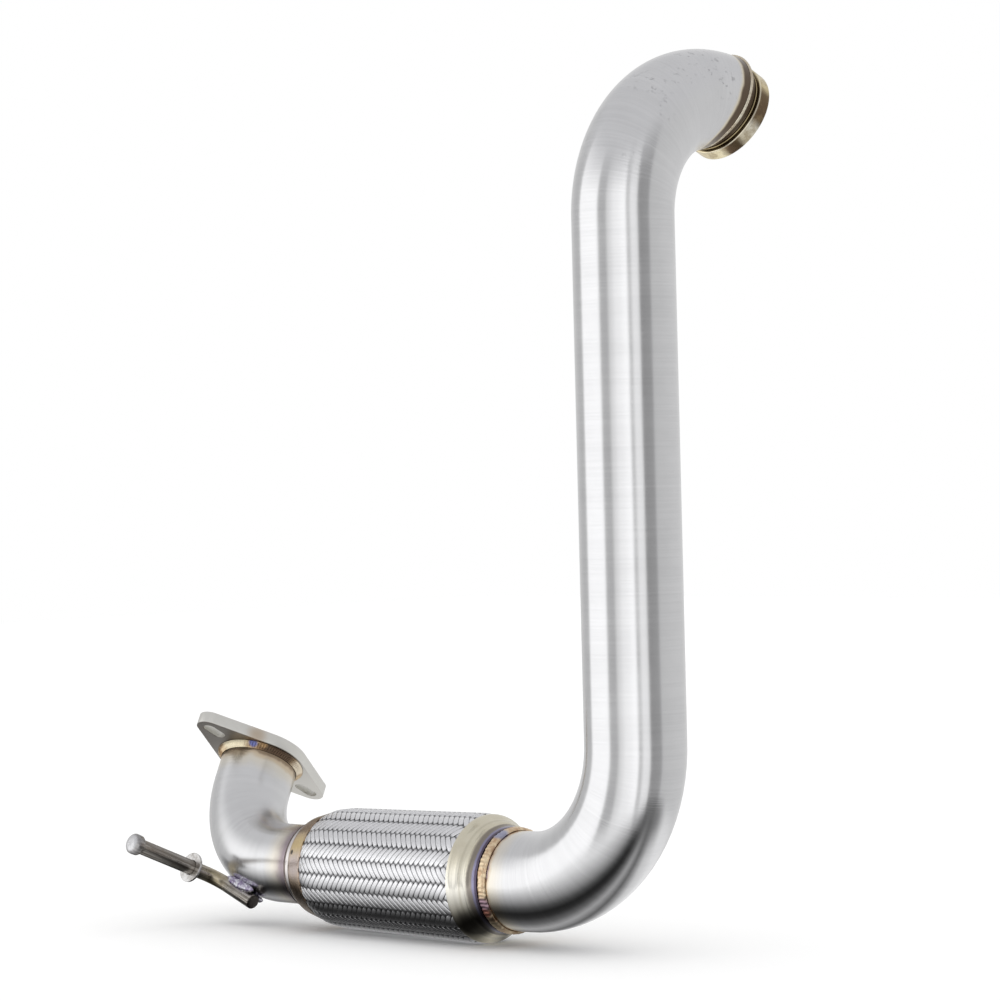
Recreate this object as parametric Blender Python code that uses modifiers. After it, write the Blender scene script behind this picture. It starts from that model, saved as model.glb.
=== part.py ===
# A turbo downpipe in welded stainless tube, in metres. The riser stands along Z and the flex
# section lies along X. The origin is the centre of the V-band face, which the turbine holds.
import math

import bmesh
import bpy
import numpy as np
from mathutils import Matrix, Vector

CLEARANCE = 0.0003

# Riser: one bent tube from the flex up to the V-band.
RISER_OD = 0.0762
TUBE_WALL = 0.00165
INLET_STUB = 0.0162
LOWER_BEND_RADIUS = 0.10775
RISER_LENGTH = 0.388
UPPER_BEND_RADIUS = 0.09135
UPPER_BEND_ANGLE = math.radians(98.4)
UPPER_BEND_TURN = math.radians(0.63)

# V-band flange: its axis leans away from the end of the upper bend.
VBAND_TILT = math.radians(18.5)
VBAND_SKEW = math.radians(4.5)
VBAND_RIM_OD = 0.0747
VBAND_GROOVE_OD = 0.068
VBAND_RIDGE_OD = 0.0708
VBAND_BORE = 0.0630
VBAND_DEPTH = 0.0219
VBAND_RIM_WIDTH = 0.0106
VBAND_LIP = 0.0022
VBAND_STEP = 0.0004
VBAND_SHOULDER = 0.0012
VBAND_RIDGE_FOOT = 0.0030
VBAND_RIDGE_TOP = 0.0024
VBAND_RIDGE_WIDTH = 0.0010
VBAND_RIM_ROOT = 0.0009
VBAND_CHAMFER = 0.0008
SEAM_HALF_WIDTH = 0.0013
BEAD_CROWN = 0.0011
BEAD_TOE = 0.0001

# Flex section: bellows and liner inside a braid, gripped by a cap at each end.
FLEX_LENGTH = 0.2104
SLEEVE_OVERLAP = 0.024
CAP_WALL = 0.0015
INLET_CAP_RISE = 0.0112
INLET_CAP_LENGTH = 0.0276
INLET_CAP_EDGE = 0.004
INLET_CAP_STEPS = [
    (0.0000, 0.0002),
    (0.0065, 0.0012),
    (0.0090, 0.0022),
    (0.0099, 0.0019),
    (0.0112, 0.0032),
    (0.0164, 0.0058),
]
INLET_CAP_ROLL = 0.0028
INLET_CAP_LIP = 0.0003
OUTLET_CAP_LENGTH = 0.014
OUTLET_CAP_STEPS = [
    (OUTLET_CAP_LENGTH, -0.0005),
    (0.0046, 0.0000),
    (0.0040, -0.0005),
    (0.0034, 0.0003),
    (0.0016, 0.0000),
    (0.0004, -0.0012),
    (0.0000, -0.0027),
]
CUFF_START = 0.014
CUFF_THROAT = 0.0005
CUFF_FLARE = 0.0060
CUFF_FLARE_RISE = 0.0026
CUFF_TAPER = 0.0030
BRAID_RISE_INLET = 0.0113
BRAID_RISE_OUTLET = 0.0083
BRAID_WALL = 0.0016
BRAID_GRIP = 0.00176
BRAID_RIDGE = 0.00055
BRAID_SHOULDER = 0.020
BRAID_SWELL = 0.010
BRAID_TUCK = 0.004
BRAID_MARGIN = 0.0016
BRAID_STRANDS = 36
BRAID_ROWS = 40
BELLOWS_RISE = 0.0061
BELLOWS_WALL = 0.0006
BELLOWS_WAVES = 8
BELLOWS_LEAD = 0.006
BELLOWS_TAIL = 0.002
BELLOWS_CUFF_GAP = 0.003
LINER_WALL = 0.0008
LINER_OVERLAP = 0.020
LINER_REACH = 0.004
LINER_FLARE = 0.004

# Elbow: the smaller tube from the flex to the two-bolt flange.
ELBOW_OD = 0.0635
ELBOW_STUB = 0.0429
ELBOW_BEND_RADIUS = 0.0791
ELBOW_BEND_ANGLE = math.radians(81.35)
ELBOW_ROLL = math.radians(32.9)
ELBOW_TAIL = 0.0234

# Two-bolt outlet flange, slotted.
FLANGE_THICKNESS = 0.010
FLANGE_WAIST_RADIUS = 0.038
FLANGE_EAR_RADIUS = 0.01125
FLANGE_EAR_CENTRE = 0.0575
FLANGE_TURN = math.radians(-7.8)
SLOT_CENTRE = 0.0525
SLOT_LENGTH = 0.0205
SLOT_WIDTH = 0.0108
TUBE_INSET = 0.0035
INNER_BEAD_INSET = 0.0012

# Weld fillets on the tubes.
FILLET = 0.0045
FILLET_TOE = 0.0003
INLET_BEAD_WIDTH = 0.0077
INLET_BEAD_CROWN = 0.0029

# Hanger: a bent rod welded along the outside of the elbow.
ROD_OD = 0.012
ROD_BEND_RADIUS = 0.015
ROD_STATION = math.radians(17.8)
ROD_ROUND = math.radians(12.2)
ROD_SKEW = math.radians(-5.0)
ROD_LEG_AHEAD = 0.0262
ROD_LEG_BEHIND = 0.0240
ROD_ARM = 0.0960
ROD_ARM_TURN = math.radians(94.5)
ROD_ARM_LIFT = math.radians(22.7)
HEAD_OD = 0.0166
HEAD_LENGTH = 0.0095
HEAD_UNDERCUT = 0.0004
HEAD_STEPS = [
    (0.0000, -0.0006),
    (0.0012, 0.0000),
    (0.0065, 0.0000),
    (0.0085, -0.0020),
    (0.0095, -0.0052),
]
WASHER_OD = 0.0245
WASHER_THICKNESS = 0.0022
WASHER_STATION = 0.0285
HUB_OD = 0.0160
HUB_LENGTH = 0.0034
HUB_DRAFT = 0.0008
WASHER_DRAFT = 0.0003
HANGER_BEAD = 0.0056
HANGER_BEAD_SPAN = math.radians(9.0)

BEND_STEP = math.radians(7.6)
RISER_SIDES = 24
ELBOW_SIDES = 20
ROD_SIDES = 12
TURNED_STEPS = 30
BELLOWS_STEPS = 18

X = Vector((1, 0, 0))
Y = Vector((0, 1, 0))
Z = Vector((0, 0, 1))

for old in list(bpy.data.objects):
    bpy.data.objects.remove(old, do_unlink=True)

downpipe = bpy.data.collections.new("turbo_downpipe")
cutters = bpy.data.collections.new("cutters")
cutters.hide_render = True
bpy.context.scene.collection.children.link(downpipe)
bpy.context.scene.collection.children.link(cutters)


def around(radius, sides):
    """The corner radius of a hole with this many sides that clears a round of this radius."""
    return (radius + CLEARANCE) / math.cos(math.pi / sides)


def within(radius, sides):
    """The radius of a round that clears the flats of a hole with this many sides."""
    return radius * math.cos(math.pi / sides) - CLEARANCE


def finish(colour, roughness, metallic, name):
    made = bpy.data.materials.new(name)
    made.use_nodes = True
    shader = made.node_tree.nodes["Principled BSDF"]
    shader.inputs["Base Color"].default_value = (*colour, 1)
    shader.inputs["Roughness"].default_value = roughness
    shader.inputs["Metallic"].default_value = metallic
    return made


def add(name, mesh, colour, roughness=0.3, metallic=1.0, sharp=math.radians(38)):
    mesh.shade_smooth()
    mesh.set_sharp_from_angle(angle=sharp)
    mesh.materials.append(finish(colour, roughness, metallic, name))
    made = bpy.data.objects.new(name, mesh)
    downpipe.objects.link(made)
    made.parent = frame
    return made


def placed(origin, axis, side):
    """A matrix whose local Z is the axis and whose local X leans towards side."""
    z = axis.normalized()
    y = z.cross(side).normalized()
    return Matrix.Translation(origin) @ Matrix((y.cross(z), y, z)).transposed().to_4x4()


def bend(start, heading, toward, radius, angle):
    """Points round a bend that leaves start along heading, and the heading at its end."""
    count = math.ceil(angle / BEND_STEP)
    turns = [angle * i / count for i in range(1, count + 1)]
    points = [
        start + heading * radius * math.sin(turn) + toward * radius * (1 - math.cos(turn))
        for turn in turns
    ]
    return points, heading * math.cos(angle) + toward * math.sin(angle)


def swept(name, points, radii, sides, capped):
    """The mesh of a round bar along points, with one radius for each."""
    curve = bpy.data.curves.new(name, "CURVE")
    curve.dimensions = "3D"
    curve.bevel_depth = 1
    curve.bevel_resolution = sides // 2 - 2
    curve.use_fill_caps = capped
    spline = curve.splines.new("POLY")
    spline.points.add(len(points) - 1)
    for target, point, radius in zip(spline.points, points, radii):
        target.co = (*point, 1)
        target.radius = radius
    guide = bpy.data.objects.new(name, curve)
    cutters.objects.link(guide)
    graph = bpy.context.evaluated_depsgraph_get()
    mesh = bpy.data.meshes.new_from_object(guide.evaluated_get(graph))
    bpy.data.objects.remove(guide)
    bm = bmesh.new()
    bm.from_mesh(mesh)
    bmesh.ops.remove_doubles(bm, verts=bm.verts, dist=1e-6)
    bmesh.ops.recalc_face_normals(bm, faces=bm.faces)
    bm.to_mesh(mesh)
    bm.free()
    return mesh


def tube(name, points, diameter, sides, colour):
    mesh = swept(name, points, [diameter / 2] * len(points), sides, False)
    made = add(name, mesh, colour)
    shell = made.modifiers.new("wall", "SOLIDIFY")
    shell.thickness = TUBE_WALL
    shell.offset = -1
    shell.use_even_offset = True
    return made


def turned(name, outline, place, colour, steps=TURNED_STEPS, **look):
    """A solid turned about local Z. The outline is (height, radius), up the outside and back."""
    mesh = bpy.data.meshes.new(name)
    corners = [(radius, 0, height) for height, radius in reversed(outline)]
    edges = [(i, (i + 1) % len(corners)) for i in range(len(corners))]
    mesh.from_pydata(corners, edges, [])
    made = add(name, mesh, colour, **look)
    made.matrix_local = place
    screw = made.modifiers.new("turn", "SCREW")
    screw.steps = steps
    screw.render_steps = steps
    screw.use_merge_vertices = True
    screw.merge_threshold = 1e-5
    screw.use_smooth_shade = True
    return made


def wrapped(name, around, along, point_at, colour, **look):
    """A closed ring of quads: point_at(turn, row) gives the point of each column and row."""
    bm = bmesh.new()
    bmesh.ops.create_grid(bm, x_segments=around, y_segments=along, size=0.5)
    for vert in bm.verts:
        column = round((vert.co.x + 0.5) * around)
        row = round((vert.co.y + 0.5) * along)
        vert.co = point_at(column % around, row % along)
    bmesh.ops.remove_doubles(bm, verts=bm.verts, dist=1e-6)
    bmesh.ops.recalc_face_normals(bm, faces=bm.faces)
    mesh = bpy.data.meshes.new(name)
    bm.to_mesh(mesh)
    bm.free()
    return add(name, mesh, colour, **look)


# Centre lines.
riser_start = -X * (LOWER_BEND_RADIUS + INLET_STUB) - Z * LOWER_BEND_RADIUS
lower, _ = bend(-X * LOWER_BEND_RADIUS - Z * LOWER_BEND_RADIUS, X, Z, LOWER_BEND_RADIUS, math.pi / 2)
riser_top = Z * RISER_LENGTH
upper_side = Y * math.cos(UPPER_BEND_TURN) + X * math.sin(UPPER_BEND_TURN)
upper, upper_heading = bend(riser_top, Z, upper_side, UPPER_BEND_RADIUS, UPPER_BEND_ANGLE)
seam = upper[-1]
lean = UPPER_BEND_ANGLE + VBAND_TILT
vband_axis = (Z * math.cos(lean) + Y * math.sin(lean)) * math.cos(VBAND_SKEW) + X * math.sin(VBAND_SKEW)

frame = bpy.data.objects.new("downpipe_frame", None)
downpipe.objects.link(frame)
frame.location = -(seam + vband_axis * VBAND_DEPTH)

flex_place = placed(riser_start, -X, Z)


def on_flex(distance):
    return riser_start - X * distance


# Riser.
steel = (0.56, 0.56, 0.57)
riser_points = (
    [on_flex(SLEEVE_OVERLAP), -X * LOWER_BEND_RADIUS - Z * LOWER_BEND_RADIUS]
    + lower
    + [riser_top]
    + upper
    + [seam + upper_heading * RISER_OD / 2]
)
riser = tube("riser_tube", riser_points, RISER_OD, RISER_SIDES, steel)
trim_size = 2 * RISER_OD
bpy.ops.mesh.primitive_cube_add(size=trim_size)
trim = bpy.context.object
trim.name = "seam_trim"
trim.matrix_world = Matrix.Identity(4)
for owner in list(trim.users_collection):
    owner.objects.unlink(trim)
cutters.objects.link(trim)
trim.parent = frame
weld_shoulder = SEAM_HALF_WIDTH + CLEARANCE
trim.matrix_local = placed(seam + vband_axis * (trim_size / 2 - weld_shoulder), vband_axis, X)
trim.hide_render = True
trim.display_type = "WIRE"
cut = riser.modifiers.new("seam_cut", "BOOLEAN")
cut.operation = "DIFFERENCE"
cut.object = trim

# V-band flange and its weld.
vband_place = placed(seam, vband_axis, X)
rim_back = VBAND_DEPTH - VBAND_RIM_WIDTH
turned(
    "v_band_flange",
    [
        (weld_shoulder, RISER_OD / 2),
        (weld_shoulder + VBAND_LIP, RISER_OD / 2 - VBAND_STEP),
        (weld_shoulder + VBAND_LIP + VBAND_SHOULDER, VBAND_GROOVE_OD / 2),
        (rim_back - VBAND_RIDGE_FOOT, VBAND_GROOVE_OD / 2),
        (rim_back - VBAND_RIDGE_TOP, VBAND_RIDGE_OD / 2),
        (rim_back - VBAND_RIDGE_TOP + VBAND_RIDGE_WIDTH, VBAND_RIDGE_OD / 2),
        (rim_back - VBAND_RIM_ROOT, VBAND_GROOVE_OD / 2 + VBAND_STEP),
        (rim_back, VBAND_RIM_OD / 2),
        (VBAND_DEPTH - VBAND_CHAMFER, VBAND_RIM_OD / 2),
        (VBAND_DEPTH, VBAND_RIM_OD / 2 - VBAND_CHAMFER),
        (VBAND_DEPTH, VBAND_BORE / 2),
        (weld_shoulder, VBAND_BORE / 2),
    ],
    vband_place,
    (0.50, 0.44, 0.34),
)

seam_rotation = vband_place.to_3x3()
heading_local = seam_rotation.transposed() @ upper_heading


def seam_point(column, row):
    turn = 2 * math.pi * column / TURNED_STEPS
    outward = Vector((math.cos(turn), math.sin(turn), 0))
    slope = outward.dot(heading_local)
    edge = RISER_OD / 2 / math.sqrt(1 - slope * slope)
    height, rise = [
        (-SEAM_HALF_WIDTH, BEAD_TOE),
        (-SEAM_HALF_WIDTH * 0.55, BEAD_CROWN * 0.8),
        (SEAM_HALF_WIDTH * 0.55, BEAD_CROWN),
        (SEAM_HALF_WIDTH, BEAD_TOE),
        (SEAM_HALF_WIDTH, -TUBE_WALL),
        (-SEAM_HALF_WIDTH, -TUBE_WALL),
    ][row]
    return outward * (edge + rise) + Z * height


weld = wrapped("v_band_weld", TURNED_STEPS, 6, seam_point, (0.52, 0.44, 0.33), roughness=0.4)
weld.matrix_local = vband_place

# Flex section, in heights along local Z from the end of the riser's stub.
sleeve = around(RISER_OD / 2, TURNED_STEPS)
cuff_outer = around(RISER_OD / 2, BELLOWS_STEPS) + BELLOWS_WALL
braid_seat = around(cuff_outer, BRAID_STRANDS)
cap_throat = around(braid_seat + BRAID_WALL * 0.6, TURNED_STEPS)
inlet_cap_radius = RISER_OD / 2 + INLET_CAP_RISE
cap_mouth = inlet_cap_radius - CAP_WALL
cap_flat = INLET_CAP_LENGTH - INLET_CAP_ROLL
inlet_inside = [
    (INLET_CAP_EDGE, sleeve),
    (CUFF_START - CUFF_TAPER, sleeve),
    (CUFF_START + CUFF_THROAT, cap_throat),
    (CUFF_START + CUFF_FLARE, cap_throat + CUFF_FLARE_RISE),
    (cap_flat, cap_mouth - INLET_CAP_LIP),
    (INLET_CAP_LENGTH, cap_mouth),
]
turned(
    "flex_inlet_cap",
    [(INLET_CAP_EDGE + step, sleeve + CAP_WALL + rise) for step, rise in INLET_CAP_STEPS]
    + [(cap_flat, inlet_cap_radius - INLET_CAP_LIP), (INLET_CAP_LENGTH, inlet_cap_radius)]
    + inlet_inside[::-1],
    flex_place,
    (0.55, 0.45, 0.30),
)

outlet_mouth = FLEX_LENGTH - OUTLET_CAP_LENGTH
outlet_wall = FLEX_LENGTH - CAP_WALL
outlet_inner = braid_seat + BRAID_GRIP + CLEARANCE
outlet_cap_radius = outlet_inner + CAP_WALL
elbow_hole = around(ELBOW_OD / 2, TURNED_STEPS)
turned(
    "flex_outlet_cap",
    [(FLEX_LENGTH - back, outlet_cap_radius + rise) for back, rise in OUTLET_CAP_STEPS]
    + [
        (FLEX_LENGTH, elbow_hole),
        (outlet_wall, elbow_hole),
        (outlet_wall, outlet_inner),
        (outlet_mouth, outlet_inner),
    ],
    flex_place,
    (0.50, 0.42, 0.31),
)

braid_start = CUFF_START + BRAID_TUCK
braid_end = outlet_wall - BRAID_TUCK
inlet_heights = [height for height, _ in inlet_inside]
inlet_radii = [radius for _, radius in inlet_inside]
shoulder_start = outlet_mouth - BRAID_SHOULDER
outlet_throat = outlet_inner - CLEARANCE


def braid_radius(height):
    """Outer radius of the braid: under each cap, then bulging out, with a slow taper between."""
    if height <= INLET_CAP_LENGTH + CLEARANCE:
        return float(np.interp(height, inlet_heights, inlet_radii)) - CLEARANCE
    if height >= outlet_mouth - CLEARANCE:
        return outlet_throat
    along = (height - INLET_CAP_LENGTH) / (outlet_mouth - INLET_CAP_LENGTH)
    full = RISER_OD / 2 + BRAID_RISE_INLET + (BRAID_RISE_OUTLET - BRAID_RISE_INLET) * along
    swell = min(1, (height - INLET_CAP_LENGTH) / BRAID_SWELL)
    full -= (full - cap_mouth + CLEARANCE) * (1 - swell) ** 2
    drop = max(0, (height - shoulder_start) / BRAID_SHOULDER)
    return full - (full - outlet_throat) * (1 - math.sqrt(1 - drop * drop))


swell_end = INLET_CAP_LENGTH + BRAID_SWELL
first_ridge = INLET_CAP_LENGTH + BRAID_MARGIN
last_ridge = outlet_mouth - BRAID_MARGIN
ridge_rows = np.linspace(first_ridge, last_ridge, BRAID_ROWS)
row_gap = ridge_rows[1] - ridge_rows[0]
under_inlet_cap = [braid_start, CUFF_START + CUFF_FLARE, cap_flat, INLET_CAP_LENGTH + CLEARANCE]
braid_outside = [*under_inlet_cap, *ridge_rows, outlet_mouth - CLEARANCE, braid_end]
braid_inside = [
    (braid_end, braid_seat),
    (outlet_mouth + BRAID_MARGIN / 2, braid_seat),
    (shoulder_start + BRAID_SHOULDER / 2, braid_radius(shoulder_start + BRAID_SHOULDER / 2) - BRAID_WALL),
    (shoulder_start, braid_radius(shoulder_start) - BRAID_WALL),
    (swell_end, braid_radius(swell_end) - BRAID_WALL),
    (cap_flat, braid_radius(cap_flat) - BRAID_WALL),
    (braid_start, braid_seat),
]


def braid_point(column, row):
    """Zigzag ridges: neighbouring columns step along the flex, and rows stand up or sink in turn."""
    turn = 2 * math.pi * column / BRAID_STRANDS
    if row < len(braid_outside):
        height = braid_outside[row]
        radius = braid_radius(height)
        ridge = row - len(under_inlet_cap)
        if 0 < ridge < BRAID_ROWS - 1:
            height += (0.5 if column % 2 else -0.5) * row_gap
            radius = braid_radius(height) - (0 if ridge % 2 else BRAID_RIDGE)
    else:
        height, radius = braid_inside[row - len(braid_outside)]
    return Vector((radius * math.cos(turn), radius * math.sin(turn), height))


braid = wrapped(
    "flex_braid",
    BRAID_STRANDS,
    len(braid_outside) + len(braid_inside),
    braid_point,
    (0.52, 0.52, 0.53),
    sharp=math.radians(12),
)
braid.matrix_local = flex_place

wave_start = INLET_CAP_LENGTH + BELLOWS_LEAD
wave_end = shoulder_start - BELLOWS_TAIL
pitch = (wave_end - wave_start) / BELLOWS_WAVES
crest = RISER_OD / 2 + BELLOWS_RISE
bellows_line = [(CUFF_START, cuff_outer)]
for wave in range(BELLOWS_WAVES):
    foot = wave_start + wave * pitch
    bellows_line += [
        (foot, cuff_outer),
        (foot + 0.22 * pitch, crest),
        (foot + 0.58 * pitch, crest),
        (foot + 0.80 * pitch, cuff_outer),
    ]
bellows_line.append((outlet_wall - BELLOWS_CUFF_GAP, cuff_outer))
bellows_mesh = bpy.data.meshes.new("flex_bellows")
bellows_mesh.from_pydata(
    [(radius, 0, height) for height, radius in reversed(bellows_line)],
    [(i, i + 1) for i in range(len(bellows_line) - 1)],
    [],
)
bellows = add("flex_bellows", bellows_mesh, (0.60, 0.58, 0.55))
bellows.matrix_local = flex_place
bellows_turn = bellows.modifiers.new("turn", "SCREW")
bellows_turn.steps = BELLOWS_STEPS
bellows_turn.render_steps = BELLOWS_STEPS
bellows_turn.use_merge_vertices = True
bellows_turn.merge_threshold = 1e-5
bellows_shell = bellows.modifiers.new("wall", "SOLIDIFY")
bellows_shell.thickness = BELLOWS_WALL
bellows_shell.offset = -1

inlet_liner = within(RISER_OD / 2 - TUBE_WALL, RISER_SIDES)
outlet_liner = around(inlet_liner, TURNED_STEPS) + LINER_WALL
liner_split = FLEX_LENGTH / 2
turned(
    "flex_inlet_liner",
    [
        (-LINER_REACH, inlet_liner),
        (liner_split + LINER_OVERLAP / 2, inlet_liner),
        (liner_split + LINER_OVERLAP / 2, inlet_liner - LINER_WALL),
        (-LINER_REACH, inlet_liner - LINER_WALL),
    ],
    flex_place,
    (0.45, 0.44, 0.43),
)
turned(
    "flex_outlet_liner",
    [
        (liner_split - LINER_OVERLAP / 2, outlet_liner),
        (shoulder_start - LINER_FLARE, outlet_liner),
        (shoulder_start + LINER_FLARE, RISER_OD / 2),
        (outlet_wall - CLEARANCE, RISER_OD / 2),
        (outlet_wall - CLEARANCE, RISER_OD / 2 - LINER_WALL),
        (shoulder_start + LINER_FLARE, RISER_OD / 2 - LINER_WALL),
        (shoulder_start - LINER_FLARE, outlet_liner - LINER_WALL),
        (liner_split - LINER_OVERLAP / 2, outlet_liner - LINER_WALL),
    ],
    flex_place,
    (0.45, 0.44, 0.43),
)

bead_half = INLET_BEAD_WIDTH / 2
turned(
    "flex_inlet_weld",
    [
        (-bead_half, sleeve + BEAD_TOE),
        (-bead_half * 0.75, sleeve + INLET_BEAD_CROWN * 0.5),
        (-bead_half * 0.25, sleeve + INLET_BEAD_CROWN * 0.9),
        (bead_half * 0.30, sleeve + INLET_BEAD_CROWN),
        (INLET_CAP_EDGE - CLEARANCE, sleeve + CAP_WALL + 3 * BEAD_TOE),
        (INLET_CAP_EDGE - CLEARANCE, sleeve),
        (-bead_half, sleeve),
    ],
    flex_place,
    (0.48, 0.38, 0.27),
    roughness=0.4,
)

# Elbow and outlet flange.
elbow_start = on_flex(FLEX_LENGTH)
elbow_bend_start = elbow_start - X * ELBOW_STUB
elbow_side = Y * math.sin(ELBOW_ROLL) + Z * math.cos(ELBOW_ROLL)
elbow_bend, outlet_axis = bend(
    elbow_bend_start, -X, elbow_side, ELBOW_BEND_RADIUS, ELBOW_BEND_ANGLE
)
flange_foot = elbow_bend[-1] + outlet_axis * ELBOW_TAIL
elbow_top = FLANGE_THICKNESS - TUBE_INSET
tube(
    "elbow_tube",
    [on_flex(outlet_wall), elbow_bend_start] + elbow_bend + [flange_foot + outlet_axis * elbow_top],
    ELBOW_OD,
    ELBOW_SIDES,
    steel,
)
turned(
    "flex_outlet_weld",
    [
        (FLEX_LENGTH + CLEARANCE, elbow_hole),
        (FLEX_LENGTH + CLEARANCE, elbow_hole + FILLET),
        (FLEX_LENGTH + CLEARANCE + FILLET * 0.5, elbow_hole + FILLET * 0.6),
        (FLEX_LENGTH + CLEARANCE + FILLET, elbow_hole + FILLET_TOE),
        (FLEX_LENGTH + CLEARANCE + FILLET, elbow_hole),
    ],
    flex_place,
    (0.45, 0.36, 0.28),
    roughness=0.4,
)

level = elbow_side.cross(-X)
across = outlet_axis.cross(level)
ear_axis = level * math.cos(FLANGE_TURN) + across * math.sin(FLANGE_TURN)
flange_place = placed(flange_foot, outlet_axis, ear_axis)


def round_points(centre, radius, start, end, count):
    return [
        (
            centre + radius * math.cos(start + (end - start) * i / count),
            radius * math.sin(start + (end - start) * i / count),
        )
        for i in range(count + 1)
    ]


tangent = math.acos((FLANGE_WAIST_RADIUS - FLANGE_EAR_RADIUS) / FLANGE_EAR_CENTRE)
slot_half = (SLOT_LENGTH - SLOT_WIDTH) / 2
loops = [
    round_points(FLANGE_EAR_CENTRE, FLANGE_EAR_RADIUS, -tangent, tangent, 10)
    + round_points(0, FLANGE_WAIST_RADIUS, tangent, math.pi - tangent, 7)
    + round_points(-FLANGE_EAR_CENTRE, FLANGE_EAR_RADIUS, math.pi - tangent, math.pi + tangent, 10)
    + round_points(0, FLANGE_WAIST_RADIUS, math.pi + tangent, 2 * math.pi - tangent, 7),
    round_points(0, around(ELBOW_OD / 2, ELBOW_SIDES), 0, 2 * math.pi, ELBOW_SIDES)[:-1],
]
for side in (-1, 1):
    right = side * SLOT_CENTRE + slot_half
    left = side * SLOT_CENTRE - slot_half
    loops.append(
        round_points(right, SLOT_WIDTH / 2, -math.pi / 2, math.pi / 2, 7)
        + round_points(left, SLOT_WIDTH / 2, math.pi / 2, 1.5 * math.pi, 7)
    )
plate = bpy.data.curves.new("outlet_flange", "CURVE")
plate.dimensions = "2D"
plate.fill_mode = "BOTH"
plate.extrude = FLANGE_THICKNESS / 2
for loop in loops:
    spline = plate.splines.new("POLY")
    spline.points.add(len(loop) - 1)
    spline.use_cyclic_u = True
    for target, (u, v) in zip(spline.points, loop):
        target.co = (u, v, 0, 1)
plate.materials.append(finish((0.42, 0.41, 0.40), 0.38, 1.0, "outlet_flange"))
outlet_flange = bpy.data.objects.new("outlet_flange", plate)
downpipe.objects.link(outlet_flange)
outlet_flange.parent = frame
outlet_flange.matrix_local = flange_place @ Matrix.Translation((0, 0, FLANGE_THICKNESS / 2))

turned(
    "flange_weld",
    [
        (-CLEARANCE - FILLET, elbow_hole),
        (-CLEARANCE - FILLET, elbow_hole + FILLET_TOE),
        (-CLEARANCE - FILLET * 0.55, elbow_hole + FILLET * 0.7),
        (-CLEARANCE, elbow_hole + FILLET),
        (-CLEARANCE, elbow_hole),
    ],
    flange_place,
    (0.55, 0.45, 0.33),
    roughness=0.4,
)
inner_bead = TUBE_INSET - INNER_BEAD_INSET
turned(
    "flange_inner_weld",
    [
        (elbow_top + CLEARANCE, ELBOW_OD / 2),
        (elbow_top + CLEARANCE + inner_bead, ELBOW_OD / 2),
        (elbow_top + CLEARANCE + inner_bead * 0.5, ELBOW_OD / 2 - TUBE_WALL * 0.6),
        (elbow_top + CLEARANCE, ELBOW_OD / 2 - TUBE_WALL),
    ],
    flange_place,
    (0.45, 0.36, 0.28),
    roughness=0.4,
)


# Hanger.
def elbow_frame(station, turn):
    """On the elbow's bend: its centre, its heading and the normal turned from the outer side."""
    centre = (
        elbow_bend_start
        - X * ELBOW_BEND_RADIUS * math.sin(station)
        + elbow_side * ELBOW_BEND_RADIUS * (1 - math.cos(station))
    )
    heading = elbow_side * math.sin(station) - X * math.cos(station)
    outer = -(elbow_side * math.cos(station) + X * math.sin(station))
    return centre, heading, outer * math.cos(turn) + heading.cross(outer) * math.sin(turn)


rod_radius = ROD_OD / 2
rod_offset = ELBOW_OD / 2 + CLEARANCE + rod_radius
contact_centre, contact_heading, contact_normal = elbow_frame(ROD_STATION, ROD_ROUND)
contact = contact_centre + contact_normal * rod_offset
leg_side = contact_heading.cross(contact_normal)
leg = leg_side * math.sin(ROD_SKEW) - contact_heading * math.cos(ROD_SKEW)
arm_side = contact_normal.cross(leg)
arm = (
    (arm_side * math.sin(ROD_ARM_TURN) + leg * math.cos(ROD_ARM_TURN)) * math.cos(ROD_ARM_LIFT)
    + contact_normal * math.sin(ROD_ARM_LIFT)
)
corner = contact - leg * ROD_LEG_AHEAD
rod_turn = (-leg).angle(arm)
run_out = ROD_BEND_RADIUS * math.tan(rod_turn / 2)
rod_toward = (arm + leg * arm.dot(-leg)).normalized()
rod_bend, _ = bend(corner + leg * run_out, -leg, rod_toward, ROD_BEND_RADIUS, rod_turn)
head_start = ROD_ARM - HEAD_LENGTH
rod_line = [(contact + leg * ROD_LEG_BEHIND, rod_radius), (corner + leg * run_out, rod_radius)]
rod_line += [(point, rod_radius) for point in rod_bend[1::2]]
if len(rod_bend) % 2:
    rod_line.append((rod_bend[-1], rod_radius))
rod_line.append((corner + arm * (head_start - HEAD_UNDERCUT), rod_radius))
for step, rise in HEAD_STEPS:
    rod_line.append((corner + arm * (head_start + step), HEAD_OD / 2 + rise))
rod_mesh = swept(
    "hanger_rod", [point for point, _ in rod_line], [radius for _, radius in rod_line], ROD_SIDES, True
)
add("hanger_rod", rod_mesh, (0.33, 0.31, 0.29), roughness=0.42)

washer_hole = rod_radius + CLEARANCE
turned(
    "hanger_washer",
    [
        (-HUB_LENGTH, HUB_OD / 2 - HUB_DRAFT),
        (0, HUB_OD / 2),
        (0, WASHER_OD / 2 - WASHER_DRAFT),
        (WASHER_THICKNESS, WASHER_OD / 2),
        (WASHER_THICKNESS, washer_hole),
        (-HUB_LENGTH, washer_hole),
    ],
    placed(corner + arm * WASHER_STATION, arm, Z),
    (0.60, 0.60, 0.61),
    steps=ELBOW_SIDES,
)

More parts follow.
